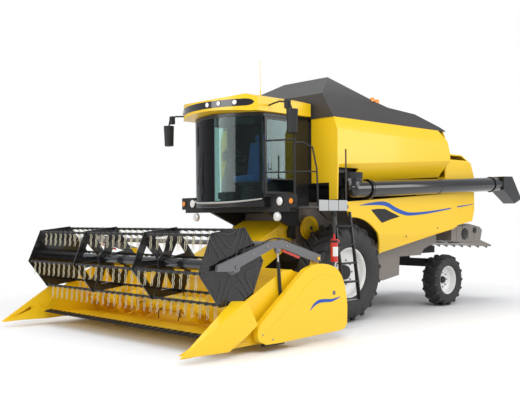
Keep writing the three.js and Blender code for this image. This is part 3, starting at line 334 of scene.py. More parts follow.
k = Look("rod_steel", (0.62, 0.62, 0.63), 0.2, 1.0)
k.roughness(k.noise(30, 2, (1, 1, 12)) * 0.15 + 0.14)
steel = k.m
k = Look("worn_steel", (0.3, 0.3, 0.31), 0.42, 0.9)
k.roughness(k.noise(18, 4) * 0.35 + 0.25)
worn = k.m
k = Look("tyre_rubber", (0.018, 0.018, 0.019), 0.62)
k.tint(k.noise(9, 5), (0.014, 0.014, 0.015), (0.034, 0.033, 0.033))
k.roughness(k.noise(22, 4) * 0.25 + 0.45)
k.bump(k.noise(160, 3), 0.25, 0.0015)
rubber = k.m
k = Look("hose_rubber", (0.012, 0.012, 0.012), 0.5)
hose = k.m
k = Look("seat_cloth", (0.02, 0.1, 0.36), 0.85, sheen_weight=0.3)
k.bump(k.noise(700, 2), 0.35, 0.001)
k.tint(k.noise(60, 4), (0.012, 0.075, 0.3), (0.03, 0.13, 0.42))
cloth = k.m
k = Look("lamp_glass", (0.9, 0.9, 0.88), 0.08, coat_weight=1.0)
k.tint(k.wave(28, "Y"), (0.7, 0.7, 0.7), (0.95, 0.95, 0.93))
lamp = k.m
k = Look("tread_plate", (0.05, 0.05, 0.052), 0.45, 0.3)
k.bump(k.wave(9, "DIAGONAL"), 0.5, 0.002)
tread = k.m


def make_glass(name, color, weight):
    m = bpy.data.materials.new(name)
    m.use_nodes = True
    t = m.node_tree
    t.nodes.remove(t.nodes["Principled BSDF"])
    out = t.nodes["Material Output"]
    clear = t.nodes.new("ShaderNodeBsdfTransparent")
    clear.inputs[0].default_value = (*color, 1)
    shine = t.nodes.new("ShaderNodeBsdfGlossy")
    shine.inputs["Roughness"].default_value = 0.02
    fres = t.nodes.new("ShaderNodeFresnel")
    fres.inputs[0].default_value = weight
    mix = t.nodes.new("ShaderNodeMixShader")
    t.links.new(fres.outputs[0], mix.inputs[0])
    t.links.new(clear.outputs[0], mix.inputs[1])
    t.links.new(shine.outputs[0], mix.inputs[2])
    t.links.new(mix.outputs[0], out.inputs[0])
    return m


glass = make_glass("tinted_glass", (0.66, 0.79, 0.77), 1.35)


# ------------------------------------------------------------------ making objects
def finish_mesh(bm, name, mat, bevel, segs, angle):
    bmesh.ops.recalc_face_normals(bm, faces=bm.faces)
    if bevel:
        edges = [e for e in bm.edges if len(e.link_faces) == 2 and e.calc_face_angle(0) > math.radians(28)]
        bmesh.ops.bevel(bm, geom=edges, offset=bevel / 1000, segments=segs, profile=0.6, affect="EDGES",
            clamp_overlap=True)
    me = bpy.data.meshes.new(name)
    bm.to_mesh(me)
    bm.free()
    me.materials.append(mat)
    me.shade_smooth()
    me.set_sharp_from_angle(angle=math.radians(angle))
    ob = bpy.data.objects.new(name, me)
    scene.collection.objects.link(ob)
    if bevel and len(me.polygons) < 60000:
        w = ob.modifiers.new("normals", "WEIGHTED_NORMAL")
        w.keep_sharp = True
        dg = bpy.context.evaluated_depsgraph_get()
        dg.update()
        new = bpy.data.meshes.new_from_object(ob.evaluated_get(dg))
        ob.modifiers.clear()
        ob.data = new
        bpy.data.meshes.remove(me)
        new.name = name
    return ob


def settle(ob, body, mat, replaces):
    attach(ob, body)
    if replaces:
        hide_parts(*replaces)
    return ob


def make(name, shape, body, mat, bevel=0.0, segs=2, angle=35, replaces=()):
    bm = bmesh.new()
    vs = [bm.verts.new((x / 1000 + DX, y / 1000, z / 1000)) for x, y, z in shape.v]
    for f in shape.f:
        try:
            bm.faces.new([vs[i] for i in f])
        except ValueError:
            pass
    bmesh.ops.remove_doubles(bm, verts=bm.verts, dist=1e-6)
    return settle(finish_mesh(bm, name, mat, bevel, segs, angle), body, mat, replaces)


def from_cad(node, body, mat, bevel=3.0, segs=2, angle=35, name=None):
    """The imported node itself, with its flat faces joined and its edges rounded."""
    bm = bmesh.new()
    bm.from_mesh(NODES[node].data)
    bmesh.ops.remove_doubles(bm, verts=bm.verts, dist=2e-5)
    bmesh.ops.dissolve_limit(bm, angle_limit=math.radians(0.8), verts=bm.verts, edges=bm.edges)
    ob = finish_mesh(bm, name or node + "_shown", mat, bevel, segs, angle)
    return settle(ob, body, mat, (node,))


def both(name, shape, body, mat, **k):
    """The piece on the left body and its mirror image on the right one."""
    rep = k.pop("replaces", ())
    make("left_" + name, shape, body.replace("SIDE", "left"), mat, replaces=[r.replace("SIDE",
        "left") for r in rep], **k)
    make("right_" + name, shape.mirrored(), body.replace("SIDE", "right"), mat, replaces=[r.replace("SIDE",
        "right") for r in rep], **k)


def repeat(name, shape, body, mat, count, start, step=(0, 0, 0), turn=0.0, bevel=0.0):
    """Copies of a shape made at the wheel point, in a row or in a ring about an axis along Y."""
    seed = make(name + "_seed", shape, body, mat, bevel=bevel)
    seed.data.transform(Matrix.Translation((-DX, 0, 0)))
    g = bpy.data.node_groups.new(name + "_repeat", "GeometryNodeTree")
    g.interface.new_socket("Count", in_out="INPUT", socket_type="NodeSocketInt")
    g.interface.new_socket("Piece", in_out="INPUT", socket_type="NodeSocketObject")
    g.interface.new_socket("Geometry", in_out="OUTPUT", socket_type="NodeSocketGeometry")
    gi, go = g.nodes.new("NodeGroupInput"), g.nodes.new("NodeGroupOutput")
    line = g.nodes.new("GeometryNodeMeshLine")
    line.inputs["Start Location"].default_value = (start[0] / 1000 + DX, start[1] / 1000, start[2] / 1000)
    line.inputs["Offset"].default_value = tuple(c / 1000 for c in step)
    info = g.nodes.new("GeometryNodeObjectInfo")
    inst = g.nodes.new("GeometryNodeInstanceOnPoints")
    idx = g.nodes.new("GeometryNodeInputIndex")
    mul = g.nodes.new("ShaderNodeMath")
    mul.operation = "MULTIPLY"
    mul.inputs[1].default_value = turn
    xyz = g.nodes.new("ShaderNodeCombineXYZ")
    real = g.nodes.new("GeometryNodeRealizeInstances")
    sm = g.nodes.new("GeometryNodeSetMaterial")
    sm.inputs["Material"].default_value = mat
    L = g.links.new
    L(gi.outputs["Count"], line.inputs["Count"])
    L(gi.outputs["Piece"], info.inputs["Object"])
    L(line.outputs[0], inst.inputs["Points"])
    L(info.outputs["Geometry"], inst.inputs["Instance"])
    L(idx.outputs[0], mul.inputs[0])
    L(mul.outputs[0], xyz.inputs["Y"])
    L(xyz.outputs[0], inst.inputs["Rotation"])
    L(inst.outputs[0], real.inputs[0])
    L(real.outputs[0], sm.inputs["Geometry"])
    L(sm.outputs[0], go.inputs[0])
    me = bpy.data.meshes.new(name)
    ob = bpy.data.objects.new(name, me)
    scene.collection.objects.link(ob)
    mod = ob.modifiers.new("repeat", "NODES")
    mod.node_group = g
    ids = {i.name: i.identifier for i in g.interface.items_tree if i.in_out == "INPUT"}
    mod[ids["Count"]] = count
    mod[ids["Piece"]] = seed
    dg = bpy.context.evaluated_depsgraph_get()
    dg.update()
    new = bpy.data.meshes.new_from_object(ob.evaluated_get(dg))
    ob.modifiers.clear()
    ob.data = new
    new.name = name
    bpy.data.meshes.remove(me)
    bpy.data.objects.remove(seed)
    bpy.data.node_groups.remove(g)
    return settle(ob, body, mat, ())


# ------------------------------------------------------------------ tyres and rims
def tyre(side, which, R, width, rim, outer, x, lugs, deep):
    """Carcass with rounded walls, and two staggered rows of slanted bars."""
    body = f"{side}_{which}_wheel"
    s = 1 if side == "left" else -1
    mid = s * (outer - width / 2)
    h = width / 2
    base = R - deep
    prof = []
    for u, r in [(-0.76, rim), (-0.84, rim + 14), (-0.93, rim + (base - rim) * 0.2), (-1.0,
            rim + (base - rim) * 0.45),
                 (-0.99, rim + (base - rim) * 0.65), (-0.93, rim + (base - rim) * 0.84), (-0.84,
                 base - deep * 0.35), (-0.6, base - 4), (-0.3, base)]:
        prof.append((r, u * h))
    prof += [(r, -u) for r, u in reversed(prof)]
    make(f"{side}_{which}_tyre_shown", Shape().lathe(prof, (x, mid, R), "y", 72, closed=True), body, rubber,
        angle=60, replaces=[f"{side}_{which}_tyre"])

    def wall(u):
        """Carcass radius at a share of the half width."""
        pts = [(0.0, base), (0.6, base - 4), (0.84, base - deep * 0.35), (0.93, rim + (base - rim) * 0.84),
            (0.99, rim + (base - rim) * 0.65)]
        for (a, ra), (b, rb) in zip(pts, pts[1:]):
            if u <= b:
                return ra + (rb - ra) * (u - a) / (b - a)
        return pts[-1][1]

    sh = Shape()
    step = 2 * math.pi / lugs
    lead = 0.62 * h / R
    for row in (1, -1):
        for i in range(lugs):
            p0 = i * step + (step / 2 if row < 0 else 0)
            rings = []
            for u, top, w in [(-0.05, 0, 30), (0.06, 1, 34), (0.35, 1, 36), (0.7, 0.99, 40), (0.88, 0.92,
                    44), (0.955, 0.6, 46), (0.99, 0.12, 44)]:
                ang = p0 + lead * (min(u, 0.8) * 1.35)
                low = wall(abs(u)) - 6
                high = low + 6 + (R - base) * top if u < 0.85 else min(R - (u - 0.8) * R * 0.25,
                    low + 8 + deep * top)
                high = min(high, R - (0.6 if u < 0.5 else 4))
                high = max(high, low + 2)
                dy = w * 0.35
                y = mid + row * u * h
                ring = []
                for k, rr in ((-1, low), (-0.72, high), (0.72, high), (1, low)):
                    a = ang + k * w * 0.72 / R
                    yy = y - row * k * dy
                    yy = min(max(yy, mid - h * 0.998), mid + h * 0.998)
                    ring.append((x + rr * math.cos(a), yy, R + rr * math.sin(a)))
                rings.append(ring)
            sh.loft(rings)
    make(f"{side}_{which}_tread", sh, body, rubber, bevel=3.5, segs=1, angle=40)

    # two raised rings on each wall
    rings = Shape()
    for sgn in (1, -1):
        for f in (0.3, 0.62):
            r = rim + (base - rim) * f
            yy = mid + sgn * h * (0.955 if f < 0.4 else 0.985)
            rings.lathe([(r - 5, 0), (r, sgn * 3.5), (r + 5, 0)], (x, yy, R), "y", 72, closed=True)
    make(f"{side}_{which}_tyre_rings", rings, body, rubber, angle=60)


def rim(side, which, R, width, rimr, outer, disc, hub, x, bolts):
    body = f"{side}_{which}_wheel"
    s = 1 if side == "left" else -1
    bead = width * 0.12
    o, i = outer - bead, outer - width + bead
    r = rimr - 1
    w = rimr * 0.045
    prof = [(r, i), (r - w * 1.1, i), (r - w * 1.7, i + 25), (r - w * 1.7, disc - 16), (rimr * 0.84,
        disc - 20),
            (rimr * 0.66, disc - 48), (hub, disc - 48), (hub, disc - 34), (rimr * 0.62, disc - 34),
            (rimr * 0.74, disc - 12),
            (rimr * 0.86, disc - 4), (r - w * 1.7, disc), (r - w * 1.7, o - 34), (r - w, o - 16),
            (r - w * 1.1, o - 3), (r - 4, o), (r, o - 4)]
    make(f"{side}_{which}_rim_shown", Shape().lathe([(a, s * b) for a, b in prof], (x, 0, R), "y", 64,
        closed=True), body, white, angle=28,
         replaces=[f"{side}_{which}_rim"])
    bolt = Shape().lathe([(0, s * 22), (11, s * 22), (13, s * 18), (13, s * 4), (18, s * 4), (18, 0), (0,
        0)], (rimr * 0.5, 0, 0), "y", 12)
    repeat(f"{side}_{which}_wheel_bolts", bolt, body, worn, bolts, (x, s * (disc - 34), R),
        turn=2 * math.pi / bolts)
    ring = Shape()
    ring.lathe([(hub + 3, s * (disc - 34)), (hub + 3, s * (disc - 26)), (hub + 14, s * (disc - 26)),
        (hub + 16, s * (disc - 34))], (x, 0, R), "y", 40, closed=True)
    make(f"{side}_{which}_hub_ring", ring, body, worn, angle=30)
    valve = Shape().rod((x + rimr * 0.86, s * (disc - 6), R), (x + rimr * 0.87, s * (disc + 30), R), 5, 8)
    make(f"{side}_{which}_valve", valve, body, hose)


for side in ("left", "right"):
    tyre(side, "drive", rim=DRIVE_RIM, lugs=20, deep=56, **DRIVE_WHEEL)
    rim(side, "drive", rimr=DRIVE_RIM, disc=1260, hub=124, bolts=10, **DRIVE_WHEEL)
    tyre(side, "steer", rim=STEER_RIM, lugs=17, deep=40, **STEER_WHEEL)
    rim(side, "steer", rimr=STEER_RIM, disc=1148, hub=64, bolts=8, **STEER_WHEEL)


# ------------------------------------------------------------------ small shapes
def ribbon(line, widths, y0, y1, steps=6):
    """A flat stripe that follows a curve in the xz plane and changes in width."""
    pts = smooth([(x, w, z) for (x, z), w in zip(line, widths)], steps)
    rings = []
    for i, (x, w, z) in enumerate(pts):
        a, b = pts[max(i - 1, 0)], pts[min(i + 1, len(pts) - 1)]
        dx, dz = b[0] - a[0], b[2] - a[2]
        n = math.hypot(dx, dz) or 1
        ox, oz = -dz / n * w / 2, dx / n * w / 2
        rings.append([(x + ox, y0, z + oz), (x + ox, y1, z + oz), (x - ox, y1, z - oz), (x - ox, y0,
            z - oz)])
    return Shape().loft(rings)


def disc(x, y, z, r, depth, n=28):
    """A round lamp or boss facing out along y."""
    s = 1 if depth > 0 else -1
    d = abs(depth)
    return Shape().lathe([(0, s * d), (r * 0.55, s * d), (r * 0.9, s * d * 0.75), (r, s * d * 0.3), (r, 0),
        (0, 0)], (x, y, z), "y", n)


def facing(c, d, r, depth, n=24):
    """A round lamp at c, looking along d."""
    c, d = Vector(c), Vector(d).normalized()
    return Shape().tube([c, c + d * depth * 0.7, c + d * depth], [r, r, r * 0.8], n)


# ------------------------------------------------------------------ chassis
from_cad("threshing_body", "chassis", warm_grey, 5)
from_cad("main_frame", "chassis", satin_black, 3)
from_cad("steer_axle", "chassis", satin_black, 5)
from_cad("body_deck", "chassis", satin_black, 2)
from_cad("engine", "chassis", dark_grey, 14, 3)
from_cad("grain_tank", "chassis", dark_grey, 3)
for side in ("left", "right"):
    from_cad(f"{side}_steer_knuckle", f"{side}_knuckle", satin_black, 4)
    from_cad(f"{side}_tank_side", "chassis", yellow, 7, 3)
    from_cad(f"{side}_side_panel", f"{side}_panel", yellow, 8, 3)
from_cad("tank_extension", "chassis", dark_grey, 5)
from_cad("rear_hood", "chassis", yellow, 26, 4)
from_cad("straw_chopper", "chassis", warm_grey, 7)
from_cad("cab_support", "chassis", satin_black, 4)
from_cad("platform", "chassis", dark_grey, 3)
from_cad("ladder", "ladder", black, 3)

# stripes, vents and folds of the side panels
stripe = ribbon([(-180, 1985), (-449, 2010), (-760, 2024), (-954, 2000), (-1158, 1925), (-1427, 1856),
    (-1672, 1838), (-2248, 1872), (-2964, 1948)],
                [8, 38, 66, 76, 78, 70, 56, 40, 22], PANEL_FACE - 1, PANEL_FACE + 3)
both("panel_stripe", stripe, "SIDE_panel", blue)
both("hood_stripe", ribbon([(-3241, 1978), (-3560, 2008), (-3860, 2040)], [24, 20, 8],
    HOOD_FACE - 1, HOOD_FACE + 2.5), "chassis", blue)
vent = [(-476, 1912), (-660, 1930), (-868, 1928), (-1306, 1792), (-1040, 1742), (-781, 1680)]
both("panel_vent", Shape().prism(rounded(vent, 26), "xz", PANEL_FACE - 2, PANEL_FACE + 2.5),
    "SIDE_panel", gloss_black, bevel=1.5)
front_x, front_z = vent[5]
front_run, front_rise = vent[0][0] - front_x, vent[0][1] - front_z
rear_low_x, rear_low_z = vent[4]
rear_top_x, rear_top_z = vent[3]
slat_count, slat_pitch, lowest_slat = 9, 23, 1715
slats = Shape()
for k in range(slat_count):
    z = lowest_slat + slat_pitch * k
    x0 = front_x + (z - front_z) / front_rise * front_run - 20
    x1 = rear_low_x - (z - rear_low_z) * 5.3 + 25 if z < 1785 else rear_top_x + (z - rear_top_z) * 3.1 + 30
    if z < 1745:
        x1 = front_x - (z - front_z) * 4.0 + 15
    if x0 - x1 > 40:
        slats.box((x1, x0), (PANEL_FACE + 1, PANEL_FACE + 6), (z - 3, z + 3))
both("panel_vent_slats", slats, "SIDE_panel", black)
both("panel_fold", ribbon([(-1160, 1268), (-2252, 1424), (-3100, 1556)], [9, 9, 9],
    PANEL_FACE - 4, PANEL_FACE + 4), "SIDE_panel", yellow)
latch_y = PANEL_FACE - 2
both("panel_latch", disc(-1500, latch_y, 1430, 16, 8).add(disc(-2500, latch_y, 1570, 16, 8)),
    "SIDE_panel", black)

# lamps and bars on the machine's front
for y, r, m, n in ((1120, 68, lamp, "work_lamp"), (1375, 44, orange, "turn_lamp")):
    both(n, facing((LAMP_X, y, LAMP_Z), (1, 0, 0), r, 22), "chassis", m)
    both(n + "_rim", Shape().lathe([(r + 1, 0), (r + 1, 14), (r + 9, 14), (r + 9, 0)],
        (LAMP_X, y, LAMP_Z), "x", 30, closed=True), "chassis", black)
low_lamp = facing((1378, LOW_LAMP_Y, LOW_LAMP_Z), (1, 0, 0), 70, 30)
low_lamp.rod((1360, LOW_LAMP_Y, LOW_LAMP_Z), (1380, LOW_LAMP_Y, LOW_LAMP_Z), 74)
low_lamp.rod((1365, LOW_LAMP_Y, LOW_LAMP_Z), (1365, LOW_LAMP_Y, 1955), 12, 8)
both("low_lamp", low_lamp, "chassis", lamp)
trim = []
for i in range(-15, 16):
    a = math.radians(i * 2.9)
    trim.append((629 + 1249 * math.cos(a), 1249 * math.sin(a), 2030 + 58 * (abs(i) / 15) ** 2.2))
make("screen_trim", Shape().tube(trim, [7 + 11 * (1 - abs(i) / 17) ** 0.4 for i in range(-15, 16)], 12),
    "chassis", light_grey, angle=60)

# platform edge boxes, tread, chopper fins and spring
edge = Shape()
for a, b in ((440, 650), (662, 884), (896, 1110)):
    edge.box((a, b), (1690, 1707), (1888, 2058))
make("platform_edge", edge, "chassis", light_grey, bevel=9, segs=3)
make("platform_tread", Shape().box((440, 1310), (920, 1685), (PLATFORM_TOP - 2, PLATFORM_TOP + 3)), "chassis",
    tread, bevel=1)
fins = Shape()
for i in range(13):
    y = -1200 + 200 * i
    fins.prism([(-4400, 1300), (-4780, 1170), (-4750, 1100), (-4390, 1210)], "xz", y - 3, y + 3)
make("spreader_fins", fins, "chassis", warm_grey)
for s, n in ((1, "left"), (-1, "right")):
    ribs = Shape()
    for x in (-3420, -3640, -3860, -4080):
        ribs.box((x - 6, x + 6), (s * CHOPPER_FACE, s * (CHOPPER_FACE + 10)), (1300, 1610))
    ribs.box((-4290, -3400), (s * CHOPPER_FACE, s * (CHOPPER_FACE + 8)), (1440, 1452))
    make(n + "_chopper_ribs", ribs, "chassis", warm_grey, bevel=1.5)
    pulley_y = s * (CHOPPER_FACE + 4)
    make(n + "_chopper_pulley", disc(-3720, pulley_y, 1430, 120, s * 26).add(disc(-4100, pulley_y, 1500,
        64, s * 26)), "chassis", black)
zig = [(-2962 - 467 * i / 18, 1200 + (22 if i % 2 else -22), 1322 - 114 * i / 18) for i in range(19)]
make("chopper_spring", Shape().tube(zig, 7, 8), "chassis", steel)
for s, n in ((1, "left"), (-1, "right")):
    make(n + "_tail_lamp", Shape().box((-3906, -3880), (s * 1080, s * 1300), (2120, 2200)), "chassis",
        red_lens, bevel=6, segs=3)

# beacons and a rail hoop at the sill
for s, n in ((1, "left"), (-1, "right")):
    bea = Shape()
    for x, z in ((-900, 3846), (-1030, 3826)):
        bea.lathe([(0, 78), (26, 74), (40, 58), (42, 0), (0, 0)], (x, s * 1150, z), "z", 20)
    make(n + "_beacons", bea, "chassis", orange, angle=60)
make("sill_hoop", Shape().tube(smooth([(60, 900, 3845), (60, 900, 3960), (20, 760, 4015), (20, 420, 4030)],
    5), 11, 8), "chassis", black)

# drive pulley beside the feeder
make("feeder_pulley", Shape().lathe([(30, 0), (30, 34), (150, 34), (158, 12), (196, 12), (200, 20), (206,
    20), (206, -20), (200, -20), (196, -12), (158, -12), (150, -34), (30, -34)],
    (PULLEY_X, 735, PULLEY_Z), "y", 48, closed=True), "chassis", yellow, angle=35)
make("feeder_pulley_shaft", Shape().rod((PULLEY_X, 600, PULLEY_Z), (PULLEY_X, 785, PULLEY_Z), 29, 16),
    "chassis", worn)

# ------------------------------------------------------------------ header
from_cad("feeder_house", "header", yellow, 8, 3)
from_cad("header_trough", "header", yellow, 3)
for side in ("left", "right"):
    from_cad(f"{side}_header_end", "header", yellow, 2.5)
    from_cad(f"{side}_header_shield", "header", yellow, 22, 5)
from_cad("cutter_bar", "header", satin_black, 1.5)
from_cad("cross_auger", "header_auger", yellow, 0)
both("shield_crease", ribbon([(2990, 330), (2913, 330), (2401, 690), (2150, 885), (1900, 985), (1640, 930)],
    [4, 8, 8, 8, 8, 3], 2471, 2478), "header", yellow)
both("shield_stripe", ribbon([(2145, 490), (2060, 560), (1960, 601), (1834, 604), (1686, 597), (1512, 632)],
    [6, 34, 46, 46, 38, 10], 2472, 2478), "header", blue)
both("shield_badge", disc(1640, 2473, 700, 34, 6), "header", mid_grey)
both("shield_underside", Shape().box((2620, 3010), (2400, 2455), (84, 122)), "header", satin_black, bevel=8)
both("shield_bolts", disc(3040, 2473, 250, 14, 6, 10).add((disc(2860, 2473, 170, 14, 6, 10))), "header",
    worn)
fingers = Shape()
for i in range(14):
    a = i * 2.4
    y = -520 + 80 * i
    c, q = math.cos(a), math.sin(a)
    fingers.rod((2680 + 130 * c, y, 452 + 130 * q), (2680 + 268 * c, y + 14, 452 + 268 * q), 8, 10)
make("auger_fingers", fingers, "header_auger", satin_black)
guards = Shape()
for i in range(30):
    y = -2211 + 152.4 * i
    guards.loft([[(3570, y - 20, 247), (3570, y + 20, 247), (3570, y + 16, 262), (3570, y - 16, 262)],
                 [(3690, y - 6, 243), (3690, y + 6, 243), (3690, y + 3, 250), (3690, y - 3, 250)]])
make("knife_guards", guards, "header", black)
make("feeder_ribs", Shape().box((900, 914), (558, 567), (1180, 1580)).box((1300, 1314), (558, 567), (960,
    1370)).box((1700, 1714), (558, 567), (740, 1160)), "header", yellow, bevel=2)

# reel: plates with pressed beads, hubs, and hanging tines
from_cad("reel", "reel", gloss_black, 1.5)
PH, RX, RZ = 53.5, 3395, 1151


def at(r, deg, y):
    t = math.radians(PH + deg)
    return (RX + r * math.cos(t), y, RZ + r * math.sin(t))


for s, n in ((1, "left"), (-1, "right")):
    beads, y = Shape(), s * 2286
    for k in range(6):
        a = 60 * k
        beads.tube(smooth([at(505, a + 9, y), at(330, a + 15, y), at(250, a + 30, y), at(330, a + 45, y),
            at(505, a + 51, y)], 5), 11, 8)
        beads.tube([at(478, a + 14, y), at(478 * 0.87, a + 30, y), at(478, a + 46, y)], 9, 8)
        beads.tube([at(110, a, y), at(470, a, y)], 9, 8)
    # the pressed beads are the same black metal as the plate; they get the lighter dark grey paint as a
    # painted highlight along their edges
    make(n + "_reel_beads", beads, "reel", dark_grey, angle=60)
    make(n + "_reel_hub", Shape().lathe([(30, 0), (30, s * 26), (62, s * 26), (74, s * 14), (100, s * 10),
        (104, 0)], (RX, s * 2284, RZ), "y", 32, closed=True), "reel", mid_grey)
    web = Shape()
    for k in range(6):
        web.tube([at(130, 60 * k, s * 800), at(505, 60 * k, s * 800)], 17, 6)
    web.tube([at(120, 20 * k, s * 800) for k in range(18)], 22, 6, closed=True)
    make(n + "_reel_web", web, "reel", black, angle=50)
for i in range(1, 7):
    from_cad(f"tine_bar_{i}", f"tine_bar_{i}", black, 0)
    x, _, z = at(518, 60 * (i - 1), 0)
    clip = Shape().box((-20, 20), (-20, 20), (-24, 18))
    repeat(f"tine_clips_{i}", clip, f"tine_bar_{i}", satin_black, 28, (x, -2160, z), (0, 160, 0), bevel=4)
    wire = Shape()
    for dy in (-17, 17):
        wire.tube([(-6, dy, -16), (-30, dy, -34), (-34, dy, -70), (-20, dy, -110), (-26, dy, -160), (-10,
            dy, -218)], [4.5, 4.5, 4.5, 4.5, 4.5, 2.5], 6)
    repeat(f"tines_{i}", wire, f"tine_bar_{i}", cream, 28, (x, -2160, z), (0, 160, 0))

from_cad("reel_arms", "reel_arms", mid_grey, 4)
for s, n in ((1, "left"), (-1, "right")):
    y = s * 2345
    make(n + "_arm_plate", Shape().prism([(2560, 1352), (2548, 1322), (2230, 1212), (2226, 1242)], "xz",
        y - 15, y + 15), "reel_arms", red, bevel=4)
    make(n + "_arm_hose", Shape().tube(smooth([(2040, y, 1320), (2300, y - s * 10, 1424), (2560, y, 1496),
        (2760, y, 1496), (3000, y, 1420), (3250, y, 1345), (3380, y, 1240)], 6), 9, 8)
         .tube(smooth([(2100, y + s * 8, 1332), (2400, y + s * 14, 1450), (2600, y + s * 10, 1492), (2700,
         y + s * 12, 1440), (2640, y + s * 14, 1330)], 6), 7, 8), "reel_arms", hose, angle=60)
    pins = Shape()
    for x, z in ((3395, 1151), (1850, 1200), (2640, 1345), (2480, 1395), (2850, 1395), (3100, 1315)):
        pins.lathe([(0, s * 12), (14, s * 12), (17, s * 9), (17, 0), (0, 0)], (x, s * 2366, z), "y", 6)
    make(n + "_arm_bolts", pins, "reel_arms", worn)
    for part, mat in (("lift_barrel", black), ("lift_rod", steel), ("reel_barrel", black), ("reel_rod",
            steel)):
        from_cad(f"{n}_{part}", f"{n}_{part}", mat, 1.5)

# ------------------------------------------------------------------ cab
from_cad("cab_frame", "chassis", black, 5)
from_cad("cab_glass", "chassis", glass, 0)
from_cad("cab_door", "door", black, 5)
from_cad("door_glass", "door", glass, 0)
from_cad("cab_roof", "chassis", yellow, 26, 4)


def brow(deg, out, z):
    """A point in front of the roof's curved edge."""
    t = math.radians(deg)
    return (483 + (1547 + out) * math.cos(t), (1547 + out) * math.sin(t), z)


rings = []
for i in range(61):
    a = -36.5 + 72.5 * i / 60
    d = min(i, 60 - i) / 5
    h = 54 * (math.sqrt(max(0.0, 1 - (1 - d) ** 2)) if d < 1 else 1.0) + 1
    rings.append([brow(a, -12, 3602 - h), brow(a, 5, 3602 - h), brow(a, 5, 3602 + h), brow(a, -12,
        3602 + h)])
make("roof_visor", Shape().loft(rings), "chassis", gloss_black, bevel=3, segs=2, angle=50)
lamps = Shape()
shades = Shape()
for a in (-34.5, -28.5, 4, 13, 24):
    c, t = brow(a, 3, 3606), math.radians(a)
    lamps.add((facing(c, (math.cos(t), math.sin(t), 0), 37, 12)))
    shades.add((facing(brow(a, 1, 3606), (math.cos(t), math.sin(t), 0), 46, 8)))
make("roof_lamps", lamps, "chassis", lamp)
make("roof_lamp_rims", shades, "chassis", black)
make("roof_lining", Shape().prism([(560, -800), (1490, -800)] + [(629 + 1150 * math.cos(math.radians(a)),
    1150 * math.sin(math.radians(a))) for a in range(-40, 41, 8)] + [(1490, 800), (560, 800)],
     "xy", 3440, 3468), "chassis", satin_black, bevel=6)
make("sun_blind", Shape().prism([(629 + r * math.cos(math.radians(a)), r * math.sin(math.radians(a))) for r,
    rng in ((1180, range(-38, 39, 4)), (1172, range(38, -39, -4))) for a in rng],
     "xy", 3290, 3440), "chassis", satin_black)
make("wiper", Shape().tube([(1820, -330, 2085), (1852, -300, 2200), (1850, -345, 2560)], 8, 8)
     .tube([(1842, -390, 2330), (1848, -340, 2600), (1846, -300, 2900)], [6, 10, 6], 6), "chassis", black)

# cab interior
Z0 = 2064
make("cab_mat", Shape().box((700, 1620), (-400, 400), (Z0, Z0 + 12)), "chassis", satin_black, bevel=4,
    replaces=["cab_interior"])
seat = make("seat_cushion", Shape().box((740, 1210), (-250, 250), (Z0 + 330, Z0 + 450)), "chassis", cloth,
    bevel=46, segs=6, angle=60)
back = make("seat_back", Shape().prism([(770, Z0 + 455), (890, Z0 + 455), (860, Z0 + 700), (800, Z0 + 1040),
    (700, Z0 + 1040), (720, Z0 + 700)], "xz", -232, 232),
            "chassis", cloth, bevel=38, segs=6, angle=60)
rest = make("seat_headrest", Shape().box((700, 780), (-130, 130), (Z0 + 1050, Z0 + 1170)), "chassis", cloth,
    bevel=32, segs=5, angle=60)
piping = Shape()
for y in (-150, 150):
    piping.tube(smooth([(752, y, Z0 + 446), (900, y, Z0 + 452), (1120, y, Z0 + 450), (1200, y, Z0 + 420),
        (1208, y, Z0 + 360)], 5), 5, 6)
make("seat_piping", piping, "chassis", black, angle=60)
base = Shape().box((830, 1080), (-170, 170), (Z0 + 12, Z0 + 90)).box((800, 1120), (-200, 200), (Z0 + 290,
    Z0 + 335))
for i in range(5):
    base.box((842 + 4 * (i % 2), 1068 - 4 * (i % 2)), (-158, 158), (Z0 + 90 + 40 * i, Z0 + 126 + 40 * i))
make("seat_base", base, "chassis", satin_black, bevel=7, segs=3)
make("arm_console", Shape().prism([(760, Z0 + 500), (780, Z0 + 610), (1180, Z0 + 640), (1230, Z0 + 600),
    (1180, Z0 + 520)], "xz", -345, -262)
     .box((790, 860), (-330, -240), (Z0 + 380, Z0 + 510)), "chassis", dark_grey, bevel=14, segs=3)
make("drive_lever", Shape().tube([(1150, -300, Z0 + 630), (1160, -300, Z0 + 720), (1190, -295, Z0 + 790)],
    [14, 12, 12], 10).ball((1196, -295, Z0 + 800), 30, 8), "chassis", black, angle=60)
make("terminal", Shape().box((1270, 1300), (-400, -180), (Z0 + 700, Z0 + 860)).tube([(1220, -300, Z0 + 600),
    (1285, -290, Z0 + 720)], 12, 8), "chassis", black, bevel=6)
make("steering_column", Shape().loft([[(1450, -70, Z0 + 12), (1640, -70, Z0 + 12), (1640, 70, Z0 + 12),
    (1450, 70, Z0 + 12)],
     [(1500, -60, Z0 + 360), (1600, -60, Z0 + 340), (1600, 60, Z0 + 340), (1500, 60, Z0 + 360)],
     [(1400, -50, Z0 + 690), (1490, -50, Z0 + 730), (1490, 50, Z0 + 730), (1400, 50, Z0 + 690)]]),
     "chassis", dark_grey, bevel=16, segs=3)
c, ax = Vector((1345, 0, Z0 + 785)), Vector((-0.5, 0, 0.866))
u, w = Vector((0, 1, 0)), ax.cross(Vector((0, 1, 0)))
wheel = Shape().tube([tuple(c + (u * math.cos(t) + w * math.sin(t)) * 185) for t in (
    2 * math.pi * k / 40 for k in range(40))], 15, 10, closed=True)
for t in (0.3, math.pi - 0.3, 1.5 * math.pi):
    wheel.tube([tuple(c - ax * 20), tuple(c + (u * math.cos(t) + w * math.sin(t)) * 178)], [13, 9], 8)
wheel.rod(tuple(c - ax * 60), tuple(c + ax * 2), 42, 20).rod((1450, 0, Z0 + 700), tuple(c - ax * 40), 26,
    12)
make("steering_wheel", wheel, "chassis", black, angle=50)
